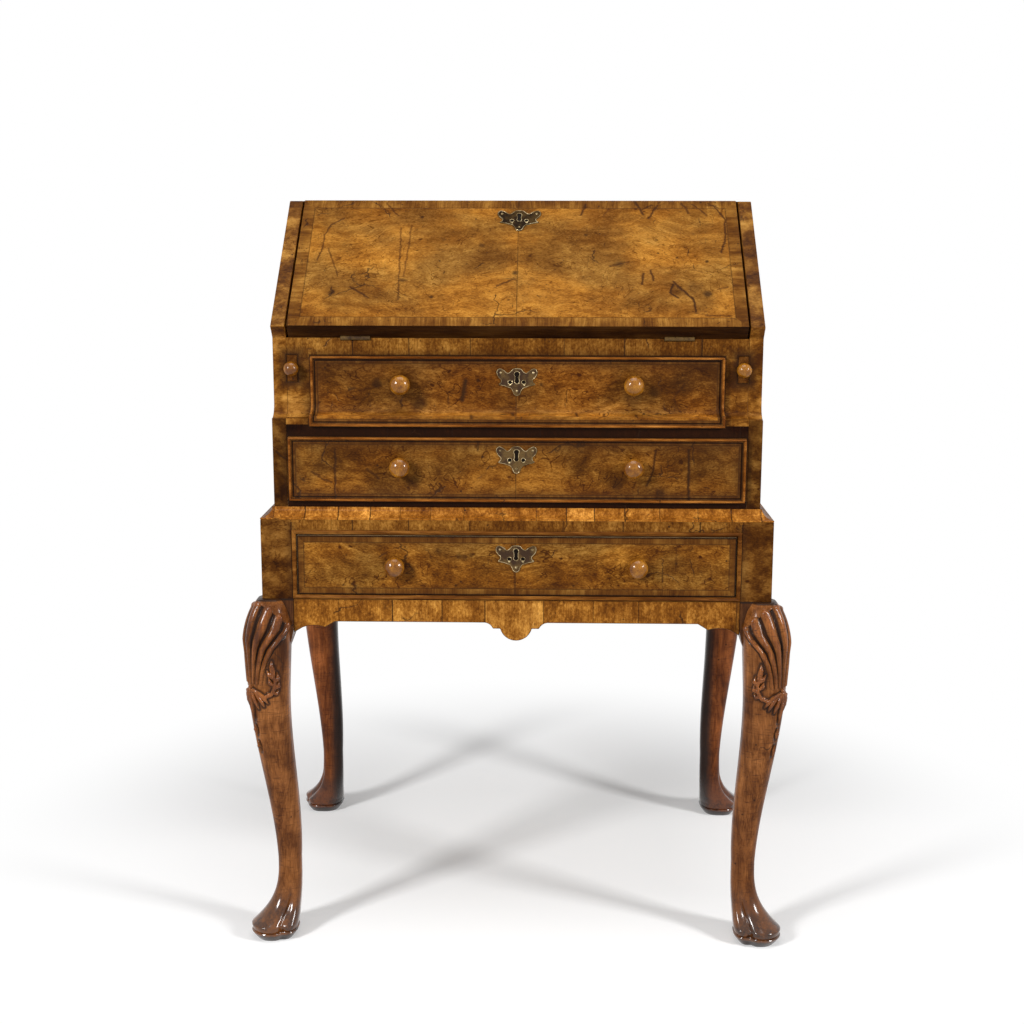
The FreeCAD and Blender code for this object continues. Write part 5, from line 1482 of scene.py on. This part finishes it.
# leg: which side it stands on, front or back, and whether its knee is carved
LEGS = {"front_left_leg": (-1, -1, True), "front_right_leg": (1, -1, True),
        "back_left_leg": (-1, 1, False), "back_right_leg": (1, 1, False)}
for name, (way_x, way_y, carved) in LEGS.items():
    form = bmesh.new()
    bmesh.ops.bevel(form, geom=leg_post(form), offset=POST_ARRIS, segments=2, affect="EDGES",
                    profile=0.5)
    for face in form.faces:
        face.material_index = 1 if face.calc_center_median().z > KNEE_TOP + 0.002 else 2
    form.from_mesh(leg_mesh(name + "_surface", carved, CARVED_COLUMNS if carved else PLAIN_COLUMNS))
    for vertex in form.verts:
        vertex.co.x = (STAND_HALF_WIDTH + vertex.co.x) * way_x
        vertex.co.y = (STAND_HALF_DEPTH + vertex.co.y) * way_y
    if way_x * way_y < 0:
        bmesh.ops.reverse_faces(form, faces=form.faces)
    finishes = [front_leg_walnut if carved else back_leg_walnut, post_burr, block_walnut]
    leg = add_object(name + "_shaped", mesh_from(form, name + "_shaped", finishes))
    place_piece(leg, "bureau", [name])
    print(name, len(leg.data.polygons), "faces", round(leg.dimensions.z, 4), "m high")

# %% [markdown]
# ## Brass plates
# Each keyhole has a pierced brass plate with a cast, raised rim. Three round pins hold it, and two
# bosses like them sit in its scrolls. A flat curve with holes, filled and given a small bevel,
# makes the plate in one go. Thin tubes along the same outlines are the rims, and a lathe tree
# sets the pins and bosses.

# %% Plate outline
# shares of the half width and of the height, up one side from the tip at the bottom
PLATE_HALF_SHARES = [
    (0.00, 0.00), (0.135, 0.05), (0.19, 0.15), (0.25, 0.22), (0.33, 0.28), (0.47, 0.31), (0.61, 0.35),
    (0.77, 0.37), (0.89, 0.40), (0.80, 0.46), (0.78, 0.56), (0.91, 0.655), (1.00, 0.78), (0.98, 0.89),
    (0.85, 0.955), (0.63, 0.88), (0.47, 0.79), (0.31, 0.85), (0.17, 0.95)]
VOLUTE, VOLUTE_HOLE = (0.335, 0.475), 0.0028
PIN_SHARES = [(-0.80, 0.81), (0.80, 0.81), (0.0, 0.17), (-0.345, 0.385), (0.345, 0.385)]
PLATE_WAIST = 0.63
KEY_HEAD, KEY_FOOT = (0.0031, 0.0047), (0.0027, -0.0045)
PLATE_STEPS = 3


def rounded_path(points):
    # a smooth closed line through the given points
    points = np.array(points)
    made = []
    for index in range(len(points)):
        a, b, c, d = (points[(index + k) % len(points)] for k in (-1, 0, 1, 2))
        for step in range(PLATE_STEPS):
            t = step / PLATE_STEPS
            made.append(0.5 * (2 * b + (c - a) * t + (2 * a - 5 * b + 4 * c - d) * t * t
                               + (3 * b - a - 3 * c + d) * t ** 3))
    return np.array(made)


def arc(middle, radius, angles):
    return [(middle[0] + radius * math.sin(a), middle[1] + radius * math.cos(a)) for a in angles]


def keyhole_path(grow=0.0):
    # a round head over a straight slot with a round foot
    head = arc((0.0, KEY_HEAD[1]), KEY_HEAD[0] + grow, np.linspace(-2.3, 2.3, 15))
    foot = arc((0.0, KEY_FOOT[1]), KEY_FOOT[0] + grow, np.linspace(0.9, 5.38, 13))
    return np.array(head + foot)[::-1]


# %% Plates, rims and pins
PIN_PROFILE = [(0.0, 1.0), (0.35, 0.95), (0.7, 0.7), (0.92, 0.35), (1.0, 0.0)]
pin_tree = lathe_tree("round_pin", PIN_PROFILE, 8, 14)
FLAT_ON_FRONT = Matrix.Rotation(math.radians(90), 4, "X")
PIN_VALUES = {"Radius": 0.0017, "Projection": 0.0012, "Material": rubbed_brass}


def brass_plate(node, body, width, height, turn, sheet):
    # turn carries the flat plate, whose middle is the keyhole, onto its board
    def at(x, y):
        return (x * width / 2, (y - PLATE_WAIST) * height)

    shape = [at(x, y) for x, y in PLATE_HALF_SHARES]
    outline = rounded_path(shape + [(-x, y) for x, y in shape[:0:-1]])
    volute = at(*VOLUTE)
    turns = math.pi / 2 - np.linspace(0, 2 * math.pi, 16, endpoint=False)
    holes = [np.array(arc((way * volute[0], volute[1]), VOLUTE_HOLE, turns)) for way in (-1, 1)]
    keyhole = keyhole_path(0.0006)
    plate = curve_mesh(node + "_flat", [outline, keyhole_path()] + holes, True, 0.0003, 0.00025)
    rims = curve_mesh(node + "_rims", [outline * 0.985, keyhole] + holes, False, 0.0, 0.00042)
    # a black sheet under the keyhole and the scroll holes: painted shade where they open onto the wood
    dark = curve_mesh(node + "_hole_shadow", [keyhole] + holes, True, 0.0001, 0.0)
    form = bmesh.new()
    for layer, (part, lift) in enumerate(((plate, 0.00055), (rims, 0.0009), (dark, 0.0002))):
        known = set(form.verts)
        known_faces = set(form.faces)
        form.from_mesh(part)
        fresh = [vertex for vertex in form.verts if vertex not in known]
        bmesh.ops.translate(form, verts=fresh, vec=(0, 0, lift))
        for face in form.faces:
            if face not in known_faces:
                face.material_index = layer
                face.smooth = layer == 1
    bmesh.ops.transform(form, matrix=turn, verts=form.verts)
    finishes = (sheet, rubbed_brass, hole_shadow_sheet)
    obj = add_object(node + "_cast", mesh_from(form, node + "_cast", finishes))
    place_piece(obj, body, [node])
    seats = [FLAT_ON_FRONT @ Vector((*at(x, y), 0.0008)) for x, y in PIN_SHARES]
    turned_pieces(node + "_pins", pin_tree, seats, PIN_VALUES, body, (),
                  turn @ FLAT_ON_FRONT.inverted())


# drawer: the height of its keyhole, and where its face lies
KEYHOLES = {"upper_drawer": (0.7558, UPPER_FACE), "middle_drawer": (0.6578, -0.220),
            "stand_drawer": (0.5308, -0.2325)}
for drawer, (keyhole, face) in KEYHOLES.items():
    onto = Matrix.Translation((0, face, keyhole)) @ FLAT_ON_FRONT
    brass_plate(drawer + "_escutcheon", drawer, 0.052, 0.0365, onto, plate_brass)
fall_keyhole = HINGE_LINE + SLOPE_UP * 0.202 + SLOPE_OUT * FALL_THICKNESS
onto = Matrix.Translation(fall_keyhole) @ Matrix.Rotation(SLOPE, 4, "X")
brass_plate("fall_escutcheon", "fall", 0.058, 0.041, onto, shaded_fall_brass)
print("plates", len(KEYHOLES) + 1)
